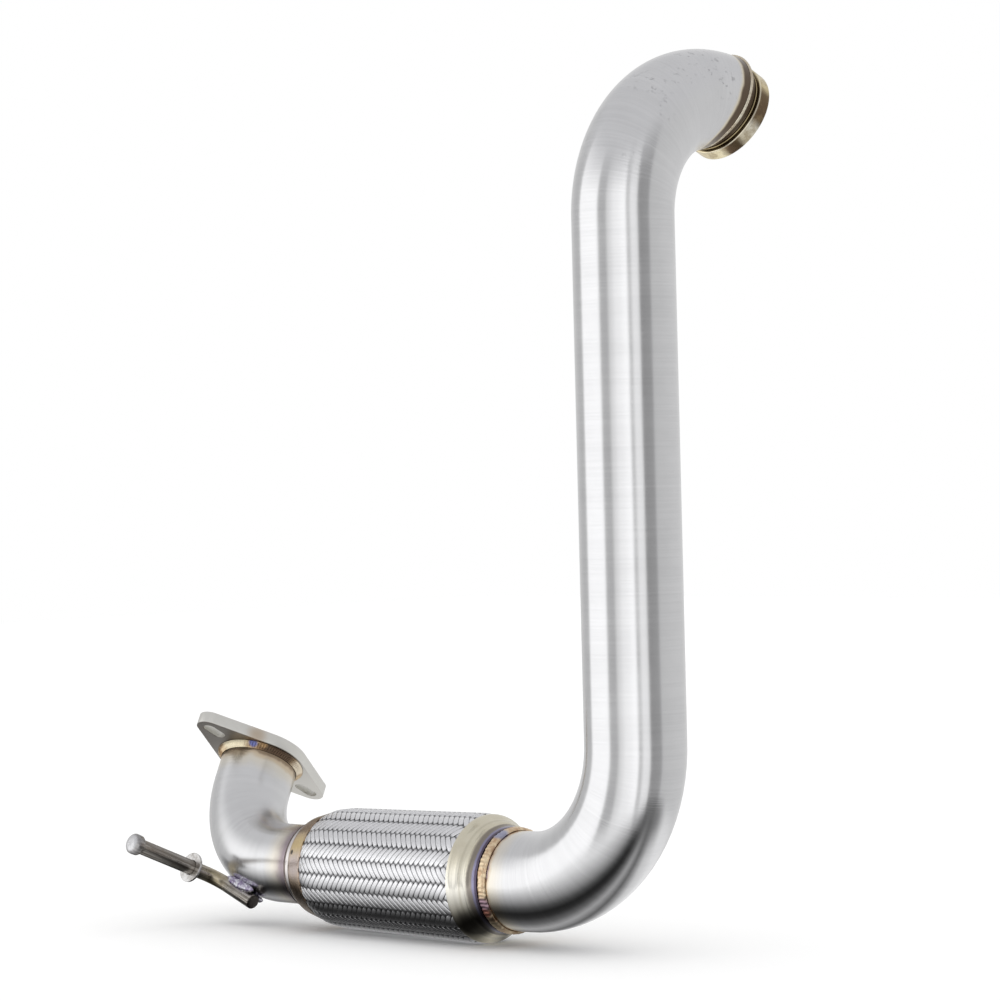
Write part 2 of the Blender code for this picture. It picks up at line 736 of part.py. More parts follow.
bead_radius = HANGER_BEAD / 2
bead_reach = ELBOW_OD / 2 + CLEARANCE + bead_radius
bead_to_rod = rod_radius + CLEARANCE * 1.5 + bead_radius
bead_turn = math.acos(
    (bead_reach**2 + rod_offset**2 - bead_to_rod**2) / (2 * bead_reach * rod_offset)
)
for name, side in (("hanger_weld_near", 1), ("hanger_weld_far", -1)):
    bead_points = []
    bead_radii = []
    for i in range(7):
        share = i / 3 - 1
        station = ROD_STATION - HANGER_BEAD_SPAN * share
        drift = math.atan2(ELBOW_BEND_RADIUS * HANGER_BEAD_SPAN * share * math.tan(ROD_SKEW), rod_offset)
        centre, _, normal = elbow_frame(station, ROD_ROUND + side * bead_turn + drift)
        bead_points.append(centre + normal * bead_reach)
        bead_radii.append(bead_radius * math.sqrt(1.02 - share * share))
    add(
        name,
        swept(name, bead_points, bead_radii, ROD_SIDES - 4, True),
        (0.42, 0.38, 0.36),
        roughness=0.4,
    )
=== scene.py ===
import math

import bpy
import numpy as np
from mathutils import Matrix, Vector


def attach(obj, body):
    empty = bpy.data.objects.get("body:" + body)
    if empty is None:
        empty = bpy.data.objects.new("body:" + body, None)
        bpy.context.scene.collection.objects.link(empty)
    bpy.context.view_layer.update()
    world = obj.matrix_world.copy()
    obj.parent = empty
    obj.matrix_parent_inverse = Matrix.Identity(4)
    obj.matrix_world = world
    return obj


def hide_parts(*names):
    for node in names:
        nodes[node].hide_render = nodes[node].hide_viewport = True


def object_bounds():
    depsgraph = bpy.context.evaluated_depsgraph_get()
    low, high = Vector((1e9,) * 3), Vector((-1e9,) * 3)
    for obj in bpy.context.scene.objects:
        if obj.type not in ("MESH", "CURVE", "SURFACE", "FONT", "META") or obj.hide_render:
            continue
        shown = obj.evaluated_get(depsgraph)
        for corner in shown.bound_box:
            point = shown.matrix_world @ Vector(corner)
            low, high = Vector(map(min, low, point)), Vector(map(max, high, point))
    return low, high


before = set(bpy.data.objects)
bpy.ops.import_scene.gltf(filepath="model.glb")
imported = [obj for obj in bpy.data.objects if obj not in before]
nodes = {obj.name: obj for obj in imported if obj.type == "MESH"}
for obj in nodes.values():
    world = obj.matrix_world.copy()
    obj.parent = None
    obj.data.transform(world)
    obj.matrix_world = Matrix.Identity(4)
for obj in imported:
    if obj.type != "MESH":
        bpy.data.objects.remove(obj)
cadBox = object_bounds()
print("frame loaded:", len(nodes), "nodes")

axisX, axisY, axisZ = np.eye(3)


def unit(vector):
    # the vector over its own length
    return vector / np.linalg.norm(vector)


def turnedFrom(first, second, angle):
    # first cos a + second sin a
    return first * math.cos(angle) + second * math.sin(angle)


def makeRun(start, heading, side, pieces):
    # A centre line as a list of legs. A piece is (length,) for a straight, or (radius, angle, towards)
    # for a bend. Each leg keeps where it starts, and its heading and side there.
    legs, station = [], 0.0
    for piece in pieces:
        leg = {"start": start, "heading": heading, "side": side, "from": station, "radius": 0.0}
        if len(piece) == 1:
            start = start + heading * piece[0]
            station += piece[0]
        else:
            radius, angle, towards = piece
            leg.update(radius=radius, towards=towards)
            lean = float(side @ towards)
            start = start + heading * radius * math.sin(angle) + towards * radius * (1 - math.cos(angle))
            side = side + lean * (towards * (math.cos(angle) - 1) - heading * math.sin(angle))
            heading = turnedFrom(heading, towards, angle)
            station += radius * angle
        legs.append(leg)
    return legs, station


def axisRun(place):
    # one straight leg along an axis, for place = (origin, axis, side)
    return makeRun(*place, [(1.0,)])[0]


def onRun(legs, station):
    # Place, heading and side at any stations. On a bend of radius R at angle a = distance / R the
    # place is start + heading R sin a + inside R (1 - cos a), and heading and side turn by a.
    station = np.asarray(station, float)[..., None]
    place = heading = side = None
    for leg in legs:
        t = station - leg["from"]
        if leg["radius"]:
            a = t / leg["radius"]
            inside, ahead, lean = leg["towards"], leg["heading"], leg["side"] @ leg["towards"]
            p = leg["start"] + leg["radius"] * (ahead * np.sin(a) + inside * (1 - np.cos(a)))
            h = ahead * np.cos(a) + inside * np.sin(a)
            s = leg["side"] + lean * (inside * (np.cos(a) - 1) - ahead * np.sin(a))
        else:
            p = leg["start"] + leg["heading"] * t
            h = leg["heading"] + 0 * t
            s = leg["side"] + 0 * t
        if place is None:
            place, heading, side = p, h, s
        else:
            place, heading, side = [np.where(t >= 0, n, o) for n, o in ((p, place), (h, heading), (s, side))]
    return place, heading, side


def roundRun(legs, station, radius, turn):
    # place + radius (side cos t + (heading x side) sin t); station, radius and turn broadcast together
    station, radius, turn = np.broadcast_arrays(station, radius, turn)
    place, heading, side = onRun(legs, station)
    other = np.cross(heading, side)
    return place + radius[..., None] * (side * np.cos(turn)[..., None] + other * np.sin(turn)[..., None])


def smoothLine(points, steps):
    # a smooth curve through the points: each span is a cubic set by the four points round it
    p = np.asarray(points, float)
    p = np.vstack([2 * p[0] - p[1], p, 2 * p[-1] - p[-2]])
    a, b, c, d = p[:-3, None], p[1:-2, None], p[2:-1, None], p[3:, None]
    t = np.linspace(0, 1, steps, endpoint=False)[None, :, None]
    line = 0.5 * (2 * b + (c - a) * t + (2 * a - 5 * b + 4 * c - d) * t**2 + (3 * b - a - 3 * c + d) * t**3)
    return np.vstack([line.reshape(-1, p.shape[1]), p[-2]])


def easedLoop(corners, ease):
    # A closed outline with each corner p eased: the parabola (1 - t)^2 a + 2 t (1 - t) p + t^2 c from
    # ease before it to ease after it, with one more row on each flat so that the flats shade flat.
    p = np.asarray(corners, float)
    back, ahead = np.roll(p, 1, 0) - p, np.roll(p, -1, 0) - p
    backSize, aheadSize = [np.linalg.norm(side, axis=1)[:, None] for side in (back, ahead)]
    r = np.minimum(ease, 0.4 * np.minimum(backSize, aheadSize))
    back, ahead = back / backSize * r, ahead / aheadSize * r
    a, c = p + back, p + ahead
    t = np.linspace(0, 1, 5)[None, :, None]
    curve = (1 - t) ** 2 * a[:, None] + 2 * t * (1 - t) * p[:, None] + t**2 * c[:, None]
    support = (p + back * 1.2)[:, None], (p + ahead * 1.2)[:, None]
    return np.concatenate([support[0], curve, support[1]], 1).reshape(-1, p.shape[1])


def pathLength(outline):
    # distance along a line, measured from its first point
    steps = np.linalg.norm(np.diff(outline, axis=0), axis=1)
    return np.concatenate([[0], np.cumsum(steps)])


def mapMesh(vertices, faces, uv):
    # a smooth mesh with a map named run
    mesh = bpy.data.meshes.new("skin")
    mesh.from_pydata(vertices.tolist(), [], faces)
    layer = mesh.uv_layers.new(name="run")
    layer.data.foreach_set("uv", uv.astype(np.float32).ravel())
    mesh.shade_smooth()
    return mesh


def gridMesh(points, u, v, closed=True):
    # A surface on a grid: rows along, columns round, corners (i, j), (i, j+1), (i+1, j+1), (i+1, j).
    # Columns always close. Rows close as a loop, or else each end closes on one point in its middle.
    rows, columns = points.shape[:2]
    i = np.arange(rows if closed else rows - 1)[:, None]
    j = np.arange(columns)[None, :]
    down, right = (i + 1) % rows, (j + 1) % columns
    quads = np.stack([i * columns + j, i * columns + right, down * columns + right, down * columns + j], -1)
    uCorner = np.stack([u[j], u[j + 1], u[j + 1], u[j]], -1) + 0 * i[..., None]
    vCorner = np.stack([v[i], v[i], v[i + 1], v[i + 1]], -1) + 0 * j[..., None]
    faces = quads.reshape(-1, 4).tolist()
    uv = np.stack([uCorner, vCorner], -1).reshape(-1, 2)
    vertices = points.reshape(-1, 3)
    if not closed:
        j, right = j[0], right[0]
        low, high = len(vertices), len(vertices) + 1
        last = (rows - 1) * columns
        vertices = np.vstack([vertices, points[0].mean(0), points[-1].mean(0)])
        faces += np.stack([right, j, np.full(columns, low)], -1).tolist()
        faces += np.stack([last + j, last + right, np.full(columns, high)], -1).tolist()
        middle = (u[:-1] + u[1:]) / 2
        for row, first, second in ((v[0], u[1:], u[:-1]), (v[-1], u[:-1], u[1:])):
            fan = np.stack([first, second, middle], -1)
            uv = np.vstack([uv, np.stack([fan, np.full_like(fan, row)], -1).reshape(-1, 2)])
    return mapMesh(vertices, faces, uv)


def addPiece(name, mesh, material, slot, *stands, sharp=None):
    # links the mesh as a piece that rides on the part and stands for the named nodes
    mesh.name = name
    if sharp:
        mesh.set_sharp_from_angle(angle=math.radians(sharp))
    mesh.materials.append(material)
    piece = bpy.data.objects.new(name, mesh)
    bpy.context.scene.collection.objects.link(piece)
    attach(piece, "root")
    if stands:
        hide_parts(*stands)


def turnShares(columns):
    # the share of a turn at each column's two edges
    return np.linspace(0, 1, columns + 1)


def turnAngles(columns):
    # the angle of each column
    return 2 * math.pi * np.arange(columns)[None, :] / columns


def turnedMesh(place, outline, columns, wave=None):
    # A closed outline of (height, radius) turned about the axis of place = (origin, axis, side):
    # origin + axis h + r (side cos t + (axis x side) sin t). wave(h, r, t) may move h and r.
    t = turnAngles(columns)
    h, r = outline[:, 0:1], outline[:, 1:2]
    if wave:
        h, r = wave(h, r, t)
    along = np.append(outline[:, 0], outline[0, 0])
    return gridMesh(roundRun(axisRun(place), h, r, t), turnShares(columns), along)


class Signal:
    # One socket of a shader. Operators on it, either way round, add Math nodes.
    def __init__(self, paint, socket):
        self.paint, self.socket = paint, socket

    def math(self, operation, *others, swap=False):
        values = (*others, self) if swap else (self, *others)
        return self.paint.put("ShaderNodeMath", {"operation": operation}, dict(enumerate(values)))

    def __add__(self, other):
        return self.math("ADD", other)

    def __sub__(self, other):
        return self.math("SUBTRACT", other)

    def __rsub__(self, other):
        return self.math("SUBTRACT", other, swap=True)

    def __mul__(self, other):
        return self.math("MULTIPLY", other)

    def __truediv__(self, other):
        return self.math("DIVIDE", other)

    def __pow__(self, other):
        return self.math("POWER", other)

    def size(self):
        return self.math("ABSOLUTE")

    def step(self, low, high):
        # 0 below low and 1 above high, smooth between; low may be the larger
        spread = {"From Min": low, "From Max": high, "To Min": 0.0, "To Max": 1.0}
        settings = {"interpolation_type": "SMOOTHSTEP", "clamp": True}
        if low > high:
            spread.update({"From Min": high, "From Max": low, "To Min": 1.0, "To Max": 0.0})
        return self.paint.put("ShaderNodeMapRange", settings, {"Value": self, **spread})

    def bump(self, middle, half):
        # 1 at the middle and 0 at half away, smooth between
        return (self - middle).size().step(half, 0.0)

    __radd__ = __add__
    __rmul__ = __mul__


class Paint:
    # A node tree with words for its nodes. put() makes any node, its settings first.
    def __init__(self, tree):
        self.tree = tree
        tree.nodes.clear()

    def put(self, kind, settings=None, inputs=None, out=0):
        node = self.tree.nodes.new(kind)
        for key, value in (settings or {}).items():
            if key == "stops":
                ramp = node.color_ramp
                while len(ramp.elements) < len(value):
                    ramp.elements.new(0.5)
                for element, (position, _) in zip(ramp.elements, value):
                    element.position = position
                for element, (_, colour) in zip(ramp.elements, value):
                    element.color = (*colour, 1)
            elif key == "blend":
                node.color_ramp.interpolation = value
            else:
                setattr(node, key, value)
        for key, value in (inputs or {}).items():
            self.feed(node.inputs[key], value)
        return Signal(self, node.outputs[out])

    def feed(self, socket, value):
        if isinstance(value, Signal):
            self.tree.links.new(value.socket, socket)
        elif socket.type == "RGBA" and len(value) == 3:
            socket.default_value = (*value, 1)
        else:
            socket.default_value = value

    def output(self, kind, whole):
        self.tree.links.new(whole.socket, self.tree.nodes.new(kind).inputs[0])

    def noise(self, vector, scale, detail=2.0, rough=0.5):
        inputs = {"Vector": vector, "Scale": scale, "Detail": detail, "Roughness": rough}
        return self.put("ShaderNodeTexNoise", None, inputs)

    def ramp(self, value, stops, blend="EASE"):
        return self.put("ShaderNodeValToRGB", {"stops": stops, "blend": blend}, {"Fac": value})

    def mix(self, factor, first, second):
        return self.put("ShaderNodeMix", {"data_type": "RGBA"}, {0: factor, 6: first, 7: second}, 2)

    def layers(self, colour, *layers):
        # lays each (mask, colour) over what is below it
        for mask, tint in layers:
            colour = self.mix(mask, colour, tint)
        return colour

    def vector(self, x, y, z):
        return self.put("ShaderNodeCombineXYZ", None, {0: x, 1: y, 2: z})

    def part(self, vector, index):
        return self.put("ShaderNodeSeparateXYZ", None, {0: vector}, index)

    def compare(self, operation, first, second, out):
        return self.put("ShaderNodeVectorMath", {"operation": operation}, {0: first, 1: second}, out)

    def along(self, origin, axis):
        # metres from an origin along an axis: (place - origin) . axis
        apart = self.compare("SUBTRACT", self.place, tuple(origin), 0)
        return self.compare("DOT_PRODUCT", apart, tuple(axis), 1)

    def spot(self, centre, radius, soft=1.0):
        # 1 inside a ball at this place on the part, fading out over its edge
        return self.compare("DISTANCE", self.place, tuple(centre), 1).step(radius, radius * (1 - soft))

    def spots(self, colour, patches, soft):
        # lays balls of colour, each (centre, radius, colour, strength), over what is below them
        balls = []
        for centre, radius, tint, strength in patches:
            balls.append((self.spot(centre, radius, soft) * strength, tint))
        return self.layers(colour, *balls)


class Finish(Paint):
    # A metal on one Principled shader, with the piece's own directions ready to use:
    # place is the point on the part, turn the share of a turn, run the metres along the piece.
    def __init__(self, name, roughness):
        self.material = bpy.data.materials.new(name)
        self.material.use_nodes = True
        super().__init__(self.material.node_tree)
        self.roughness = roughness
        metal = self.put("ShaderNodeBsdfPrincipled", None, {"Metallic": 1.0, "Roughness": roughness})
        self.sockets = metal.socket.node.inputs
        self.output("ShaderNodeOutputMaterial", metal)
        self.place = self.put("ShaderNodeTexCoord", None, None, 3)
        uv = self.put("ShaderNodeUVMap", {"uv_map": "run"})
        self.turn, self.run = self.part(uv, 0), self.part(uv, 1)

    def cloud(self, scale, detail=3.0, rough=0.6):
        return self.noise(self.place, scale, detail, rough)

    def around(self, stretch, fine):
        # a place on a cylinder for noise: slow round the piece and fine along it, with no seam
        angle = self.turn * (2 * math.pi)
        return self.vector(angle.math("COSINE") * stretch, angle.math("SINE") * stretch, self.run * fine)

    def rings(self, stretch, fine, detail=2.0, rough=0.6):
        return self.noise(self.around(stretch, fine), 1.0, detail, rough)

    def relief(self, height, distance, strength=1.0, under=None):
        inputs = {"Height": height, "Distance": distance, "Strength": strength}
        if under:
            inputs["Normal"] = under
        return self.put("ShaderNodeBump", None, inputs)

    def about(self, shade, spread):
        # roughness that runs half of spread either side of the finish's own
        return (shade - 0.5) * spread + self.roughness

    def done(self, colour, roughness=None, normal=None):
        for key, value in (("Base Color", colour), ("Roughness", roughness), ("Normal", normal)):
            if value:
                self.feed(self.sockets[key], value)
        return self.material


# The line of the part; every size is in metres
tubeLine = {
    "riserOd": 0.0762, "wall": 0.00165, "stub": 0.0162, "lowerBend": 0.10775, "riser": 0.388,
    "upperBend": 0.09135, "upperAngle": math.radians(98.4), "upperTurn": math.radians(0.63),
    "vBandTilt": math.radians(18.5), "vBandSkew": math.radians(4.5), "vBandDepth": 0.0219,
    "flexLength": 0.2104, "elbowOd": 0.0635, "elbowStub": 0.0429, "elbowBend": 0.0791,
    "elbowAngle": math.radians(81.35), "elbowRoll": math.radians(32.9), "elbowTail": 0.0234,
    "gap": 0.0003,
}
gap = tubeLine["gap"]
riserRadius, elbowRadius = tubeLine["riserOd"] / 2, tubeLine["elbowOd"] / 2

upperSide = turnedFrom(axisY, axisX, tubeLine["upperTurn"])
seamFit = (
    axisZ * (tubeLine["riser"] + tubeLine["upperBend"] * math.sin(tubeLine["upperAngle"]))
    + upperSide * tubeLine["upperBend"] * (1 - math.cos(tubeLine["upperAngle"]))
)
vBandLean = turnedFrom(axisZ, axisY, tubeLine["upperAngle"] + tubeLine["vBandTilt"])
vBandAxis = turnedFrom(vBandLean, axisX, tubeLine["vBandSkew"])
vBandSide = unit(np.cross(np.cross(vBandAxis, axisX), vBandAxis))
riserFoot = -(seamFit + vBandAxis * tubeLine["vBandDepth"])
seam = riserFoot + seamFit
flexStart = riserFoot - axisX * (tubeLine["lowerBend"] + tubeLine["stub"]) - axisZ * tubeLine["lowerBend"]
flexPlace = (flexStart, -axisX, axisZ)
elbowSide = turnedFrom(axisZ, axisY, tubeLine["elbowRoll"])
elbowStart = flexStart - axisX * tubeLine["flexLength"]


def aboutAxis(origin, side, other, turn, radius):
    # origin + radius (side cos t + other sin t), t in degrees
    return origin + radius * turnedFrom(side, other, math.radians(turn))


def onSeam(turn, radius):
    # a point round the V-band's axis, at its seam
    return aboutAxis(seam, vBandSide, np.cross(vBandAxis, vBandSide), turn, radius)


def onFlex(distance, turn, radius):
    # a point on the flex section: distance from its start, turn from the top
    return aboutAxis(flexStart - axisX * distance, axisZ, axisY, turn, radius)


steelLook = {"light": (0.79, 0.79, 0.80), "dark": (0.66, 0.66, 0.67), "riser": 0.15, "elbow": 0.24}
heatColour = {
    "straw": (0.86, 0.74, 0.50), "tan": (0.62, 0.46, 0.28), "brown": (0.19, 0.12, 0.07),
    "purple": (0.22, 0.16, 0.22), "soot": (0.05, 0.045, 0.04),
}


def steelFinish(name, roughness, *tints):
    # Brushed steel. Fine rings run round the tube, from noise that is slow round it and fast along
    # it; cloudy noise shades the colour and roughness. Each tint(finish, colour) lays marks over it.
    finish = Finish(name, roughness)
    rings = finish.rings(0.35, 900, 3.0, 0.65)
    bands = finish.rings(0.25, 60, 2.0, 0.5)
    clouds = finish.cloud(34.0)
    shade = (rings * 0.45 + bands * 0.3 + clouds * 0.35 - 0.05).step(0.15, 0.85)
    colour = finish.mix(shade, steelLook["dark"], steelLook["light"])
    for tint in tints:
        colour = tint(finish, colour)
    rough = (clouds - 0.5) * 0.10 + (rings - 0.5) * 0.10 + roughness
    wavy = finish.relief(finish.cloud(16.0, 1.0, 0.4), 0.0004, 0.5)
    return finish.done(colour, rough, finish.relief(rings, 0.00007, under=wavy))


def weldFinish(name, light, dark, patches=(), scale=1.0):
    # a weld bead's own colour, lighter and darker along it by noise, with patches of heat colour
    finish = Finish(name, 0.34)
    cloud = finish.cloud(70.0 * scale)
    colour = finish.mix(cloud.step(0.35, 0.65), dark, light)
    colour = finish.spots(colour, patches, 0.5)
    fine = finish.cloud(700.0, 2.0)
    return finish.done(colour, finish.about(cloud, 0.25), finish.relief(fine, 0.0002, 0.6))


# Riser
riserSkin = {"sleeve": 0.024, "columns": 144, "lowRows": 74, "highRows": 60, "trim": 0.0016, "spare": 0.05}


def riserMesh():
    # The wall's outside and inside, as stations by turns on the riser's line. Past the straight each
    # column ends where it meets the seam's plane, found by halving.
    size, line = riserSkin, tubeLine
    legs, _ = makeRun(
        flexStart - axisX * size["sleeve"], axisX, axisZ,
        [
            (size["sleeve"] + line["stub"],),
            (line["lowerBend"], math.pi / 2, axisZ),
            (line["riser"],),
            (line["upperBend"], line["upperAngle"], upperSide),
            (size["spare"],),
        ],
    )
    turn = turnAngles(size["columns"])
    high = legs[3]["from"]
    bendLength = line["upperBend"] * line["upperAngle"]
    low = np.linspace(0, high, size["lowRows"])[:, None] + 0 * turn
    shares = np.linspace(0, 1, size["highRows"] + 1)[1:, None]
    walls = []
    for radius in (riserRadius, riserRadius - line["wall"]):
        first = np.full(turn.shape, high + 0.5 * bendLength)
        last = np.full(turn.shape, high + bendLength + 0.6 * size["spare"])
        for _ in range(40):
            middle = (first + last) / 2
            over = (roundRun(legs, middle, radius, turn) - seam) @ vBandAxis > -size["trim"]
            first, last = np.where(over, first, middle), np.where(over, middle, last)
        station = np.vstack([low, high + (last - high) * shares])
        walls.append((station, roundRun(legs, station, radius, turn)))
    along = walls[0][0][:, 0] - size["sleeve"]
    along = np.concatenate([along, along[::-1], along[:1]])
    return gridMesh(np.vstack([walls[0][1], walls[1][1][::-1]]), turnShares(size["columns"]), along)


def riserTints(finish, colour):
    # straw and brown beside the flex weld, a dark haze along the V-band seam with a straw edge, and painted
    # shade under the upper bend
    cloud = finish.cloud(90.0, 2.0, 0.5)
    reach = finish.run + (cloud - 0.5) * 0.006
    low = finish.turn.bump(0.42, 0.25)
    above = finish.along(seam, -vBandAxis) + (cloud - 0.5) * 0.003
    high = finish.run.step(0.60, 0.62)
    # painted shade: a soft grey patch on the upper bend just below the seam, where the bend lies in shade
    under = finish.spot(onSeam(105, 0.0381) - vBandAxis * 0.016, 0.046, 0.9)
    return finish.layers(
        colour,
        (reach.step(0.024, 0.006) * (0.35 + low * 0.35), heatColour["straw"]),
        (reach.step(0.0085, 0.0040) * 0.75, heatColour["tan"]),
        (reach.step(0.0060, 0.0035) * 0.8, heatColour["purple"]),
        (above.step(0.0125, 0.0085) * high * 0.7, heatColour["straw"]),
        (above.step(0.0095, 0.0060) * high * 0.75, heatColour["tan"]),
        (above.step(0.0100, 0.0068) * high * 0.94, (0.10, 0.07, 0.05)),
        (under * 0.55, (0.36, 0.36, 0.36)),
    )


def riserScuffs(finish, colour):
    # small dark handling marks, kept to the upper bend
    marks = finish.cloud(190.0, 4.0, 0.65).step(0.565, 0.655)
    patches = finish.cloud(22.0, 1.0, 0.5).step(0.48, 0.62)
    high = finish.part(finish.place, 2).step(-0.10, 0.0)
    return finish.mix(marks * patches * high * 0.5, colour, (0.30, 0.30, 0.31))


riserSteel = steelFinish("riserSteel", steelLook["riser"], riserScuffs, riserTints)
addPiece("riserSkin", riserMesh(), riserSteel, "tube", "riser_tube", sharp=50)
print("riser made")

# V-band flange and its weld
vBandSkin = {
    "rimOd": 0.0747, "grooveOd": 0.068, "ridgeOd": 0.0708, "bore": 0.0630, "rimWidth": 0.0106,
    "lip": 0.0022, "ease": 0.0007, "columns": 144, "halfSeam": 0.0013, "crown": 0.0011,
    "seamColumns": 432, "ripples": 84,
}


def vBandOutline():
    # half of the flange's section as (height, radius): lip, neck, groove, ridge, rim and bore
    size, depth = vBandSkin, tubeLine["vBandDepth"]
    shoulder = size["halfSeam"] + gap
    back = depth - size["rimWidth"]
    groove, ridge, rim, bore = [size[key] / 2 for key in ("grooveOd", "ridgeOd", "rimOd", "bore")]
    corners = [
        (shoulder, riserRadius), (shoulder + size["lip"], riserRadius - 0.0004),
        (shoulder + size["lip"] + 0.0012, groove), (back - 0.0030, groove), (back - 0.0024, ridge),
        (back - 0.0014, ridge), (back - 0.0009, groove + 0.0004), (back, rim), (depth, rim),
        (depth, bore), (shoulder, bore),
    ]
    return easedLoop(corners, size["ease"])


# Heat tone round the rim with painted highlights and painted shade, by share of a turn
rimHeatAndPaintedLight = [
    (0.0, (0.15, 0.10, 0.06)), (0.050, (0.14, 0.10, 0.06)), (0.075, (0.84, 0.79, 0.66)),
    (0.120, (0.78, 0.70, 0.52)), (0.142, (0.10, 0.07, 0.04)), (0.190, (0.12, 0.08, 0.05)),
    (0.212, (0.96, 0.86, 0.60)), (0.300, (0.88, 0.74, 0.44)), (0.380, (0.30, 0.22, 0.13)),
    (0.600, (0.60, 0.50, 0.34)), (0.800, (0.30, 0.22, 0.13)), (0.840, (0.80, 0.70, 0.44)),
    (0.920, (0.74, 0.62, 0.36)), (0.955, (0.16, 0.11, 0.06)), (1.0, (0.15, 0.10, 0.06)),
]


def vBandFinish():
    # turned steel with fine rings: the rim's heat tones with painted highlights and shade, a dark neck and
    # groove, a gold ridge and a painted highlight on the rim's back edge
    finish = Finish("vBandSteel", 0.2)
    back = tubeLine["vBandDepth"] - vBandSkin["rimWidth"]
    cloud = finish.cloud(120.0)
    groove = finish.run.step(back, back - 0.0006) * finish.run.step(0.0018, 0.0028)
    colour = finish.layers(
        finish.ramp(finish.turn + (cloud - 0.5) * 0.04, rimHeatAndPaintedLight, "LINEAR"),
        (cloud.step(0.50, 0.66) * 0.45, (0.34, 0.25, 0.14)),
        (groove * 0.94, (0.085, 0.058, 0.036)),
        (finish.run.bump(back - 0.0019, 0.0009) * 0.8, (0.66, 0.54, 0.30)),
        # painted highlight: a bright line along the rim's back edge
        (finish.run.bump(back + 0.0004, 0.0009) * 0.7, (0.88, 0.82, 0.66)),
    )
    return finish.done(colour, finish.about(cloud, 0.2), finish.relief(finish.rings(0.2, 2600), 0.00012))


def seamMesh():
    # The bead follows the oval where the plane of the seam cuts the tube: at turn t its radius is
    # R / sqrt(1 - (out . heading)^2), and the crown is raised by ripples that bow back across it.
    half = vBandSkin["halfSeam"]
    heading = turnedFrom(axisZ, upperSide, tubeLine["upperAngle"])
    local = axisRun(vBandPlace)
    turn = turnAngles(vBandSkin["seamColumns"])
    out = roundRun(local, 0.0, 1.0, turn) - seam
    edge = riserRadius / np.sqrt(1 - (out @ heading) ** 2)
    share = np.linspace(-1, 1, 13)[:, None]
    ripple = np.cos(vBandSkin["ripples"] * turn + 1.8 * share**2 + 0.6 * np.sin(5 * turn))
    rise = vBandSkin["crown"] * np.sqrt(1 - share**2) * (0.86 + 0.14 * ripple)
    height = half * np.vstack([share, [[1.0], [-1.0]]])
    radius = np.vstack([edge + rise, np.vstack([edge, edge]) - tubeLine["wall"]])
    along = np.append(height[:, 0], -half)
    return gridMesh(roundRun(local, height, radius, turn), turnShares(turn.size), along)


vBandPlace = (seam, vBandAxis, vBandSide)
vBandMesh = turnedMesh(vBandPlace, vBandOutline(), vBandSkin["columns"])
seamMetal = weldFinish("vBandSeamMetal", (0.86, 0.80, 0.66), (0.55, 0.46, 0.34))
addPiece("vBandSkin", vBandMesh, vBandFinish(), "flange", "v_band_flange", sharp=50)
addPiece("vBandSeam", seamMesh(), seamMetal, "weld", "v_band_weld")
print("V-band flange made")

# Flex section: caps as (distance from the flex's start, radius), braid and welds
flexSkin = {
    "capColumns": 160, "capWall": 0.0015, "sleeveRadius": 0.0387, "outletEnd": 0.2205,
    "inletCap": [
        (0.0040, 0.04031), (0.0075, 0.04075), (0.0105, 0.04130), (0.0130, 0.04230), (0.0139, 0.04205),
        (0.0152, 0.04330), (0.0178, 0.04470), (0.0204, 0.04590), (0.0226, 0.04760), (0.0248, 0.04890),
        (0.0262, 0.04925), (0.0276, 0.04930),
    ],
    "outletCone": [
        (0.1948, 0.04400), (0.1990, 0.04294), (0.2040, 0.04165), (0.2092, 0.04030), (0.2108, 0.03970),
        (0.2119, 0.03902), (0.2126, 0.03790), (0.2130, 0.03640), (0.2133, 0.03545), (0.2141, 0.03490),
        (0.2152, 0.03522), (0.2172, 0.03540), (0.2190, 0.03520), (0.2202, 0.03450), (0.2205, 0.03370),
    ],
    "outletInside": [(0.2115, 0.0336), (0.2104, 0.0387), (0.1948, 0.0425)],
}


def inletCapMesh():
    # the pressed outline, smooth through its points, and the same line one wall inwards
    outer = smoothLine(flexSkin["inletCap"], 5)
    inner = outer[::-1] - [0, flexSkin["capWall"]]
    inner[:, 1] = np.maximum(inner[:, 1], flexSkin["sleeveRadius"])
    return turnedMesh(flexPlace, np.vstack([outer, inner]), flexSkin["capColumns"])


def outletCapMesh():
    # the tapering collar, its groove and its neck ring, then down to the elbow and back up inside
    outer = smoothLine(flexSkin["outletCone"], 4)
    end, hole, inside = flexSkin["outletEnd"], elbowRadius + 0.0004, flexSkin["outletInside"]
    back = end - flexSkin["capWall"]
    inner = [(end, hole), (back, hole), (back, inside[0][1]), *inside]
    return turnedMesh(flexPlace, np.vstack([outer, inner]), flexSkin["capColumns"])


def inletCapFinish():
    # straw steel, streaked round by the press, purple by the weld, a dark burn low on the near side and a
    # painted highlight band along it
    finish = Finish("inletCapSteel", 0.2)
    cloud = finish.cloud(55.0)
    reach = finish.run + (cloud - 0.5) * 0.003
    burnNear = finish.spot(onFlex(0.019, 228, 0.046), 0.018, 0.8)
    burnLow = finish.spot(onFlex(0.013, 214, 0.043), 0.016, 0.8)
    colour = finish.layers(
        finish.mix(cloud, (0.66, 0.60, 0.46), (0.86, 0.82, 0.68)),
        # painted highlight: a near-white band along the cap on its near side
        (finish.turn.bump(0.735, 0.10) * 0.7, (0.96, 0.94, 0.88)),
        (finish.run.bump(0.0180, 0.0016) * 0.4, (0.52, 0.48, 0.38)),
        (reach.step(0.0142, 0.0115) * 0.85, (0.20, 0.17, 0.15)),
        (reach.step(0.0092, 0.0076) * 0.8, (0.30, 0.29, 0.46)),
        (reach.step(0.0070, 0.0056) * 0.9, (0.10, 0.075, 0.11)),
        ((burnNear + burnLow).math("MINIMUM", 1.0) * 0.85, heatColour["soot"]),
    )
    streak = finish.rings(9.0, 40, 2.0, 0.5)
    return finish.done(colour, finish.about(streak, 0.2), finish.relief(finish.rings(0.5, 1600), 0.00015))


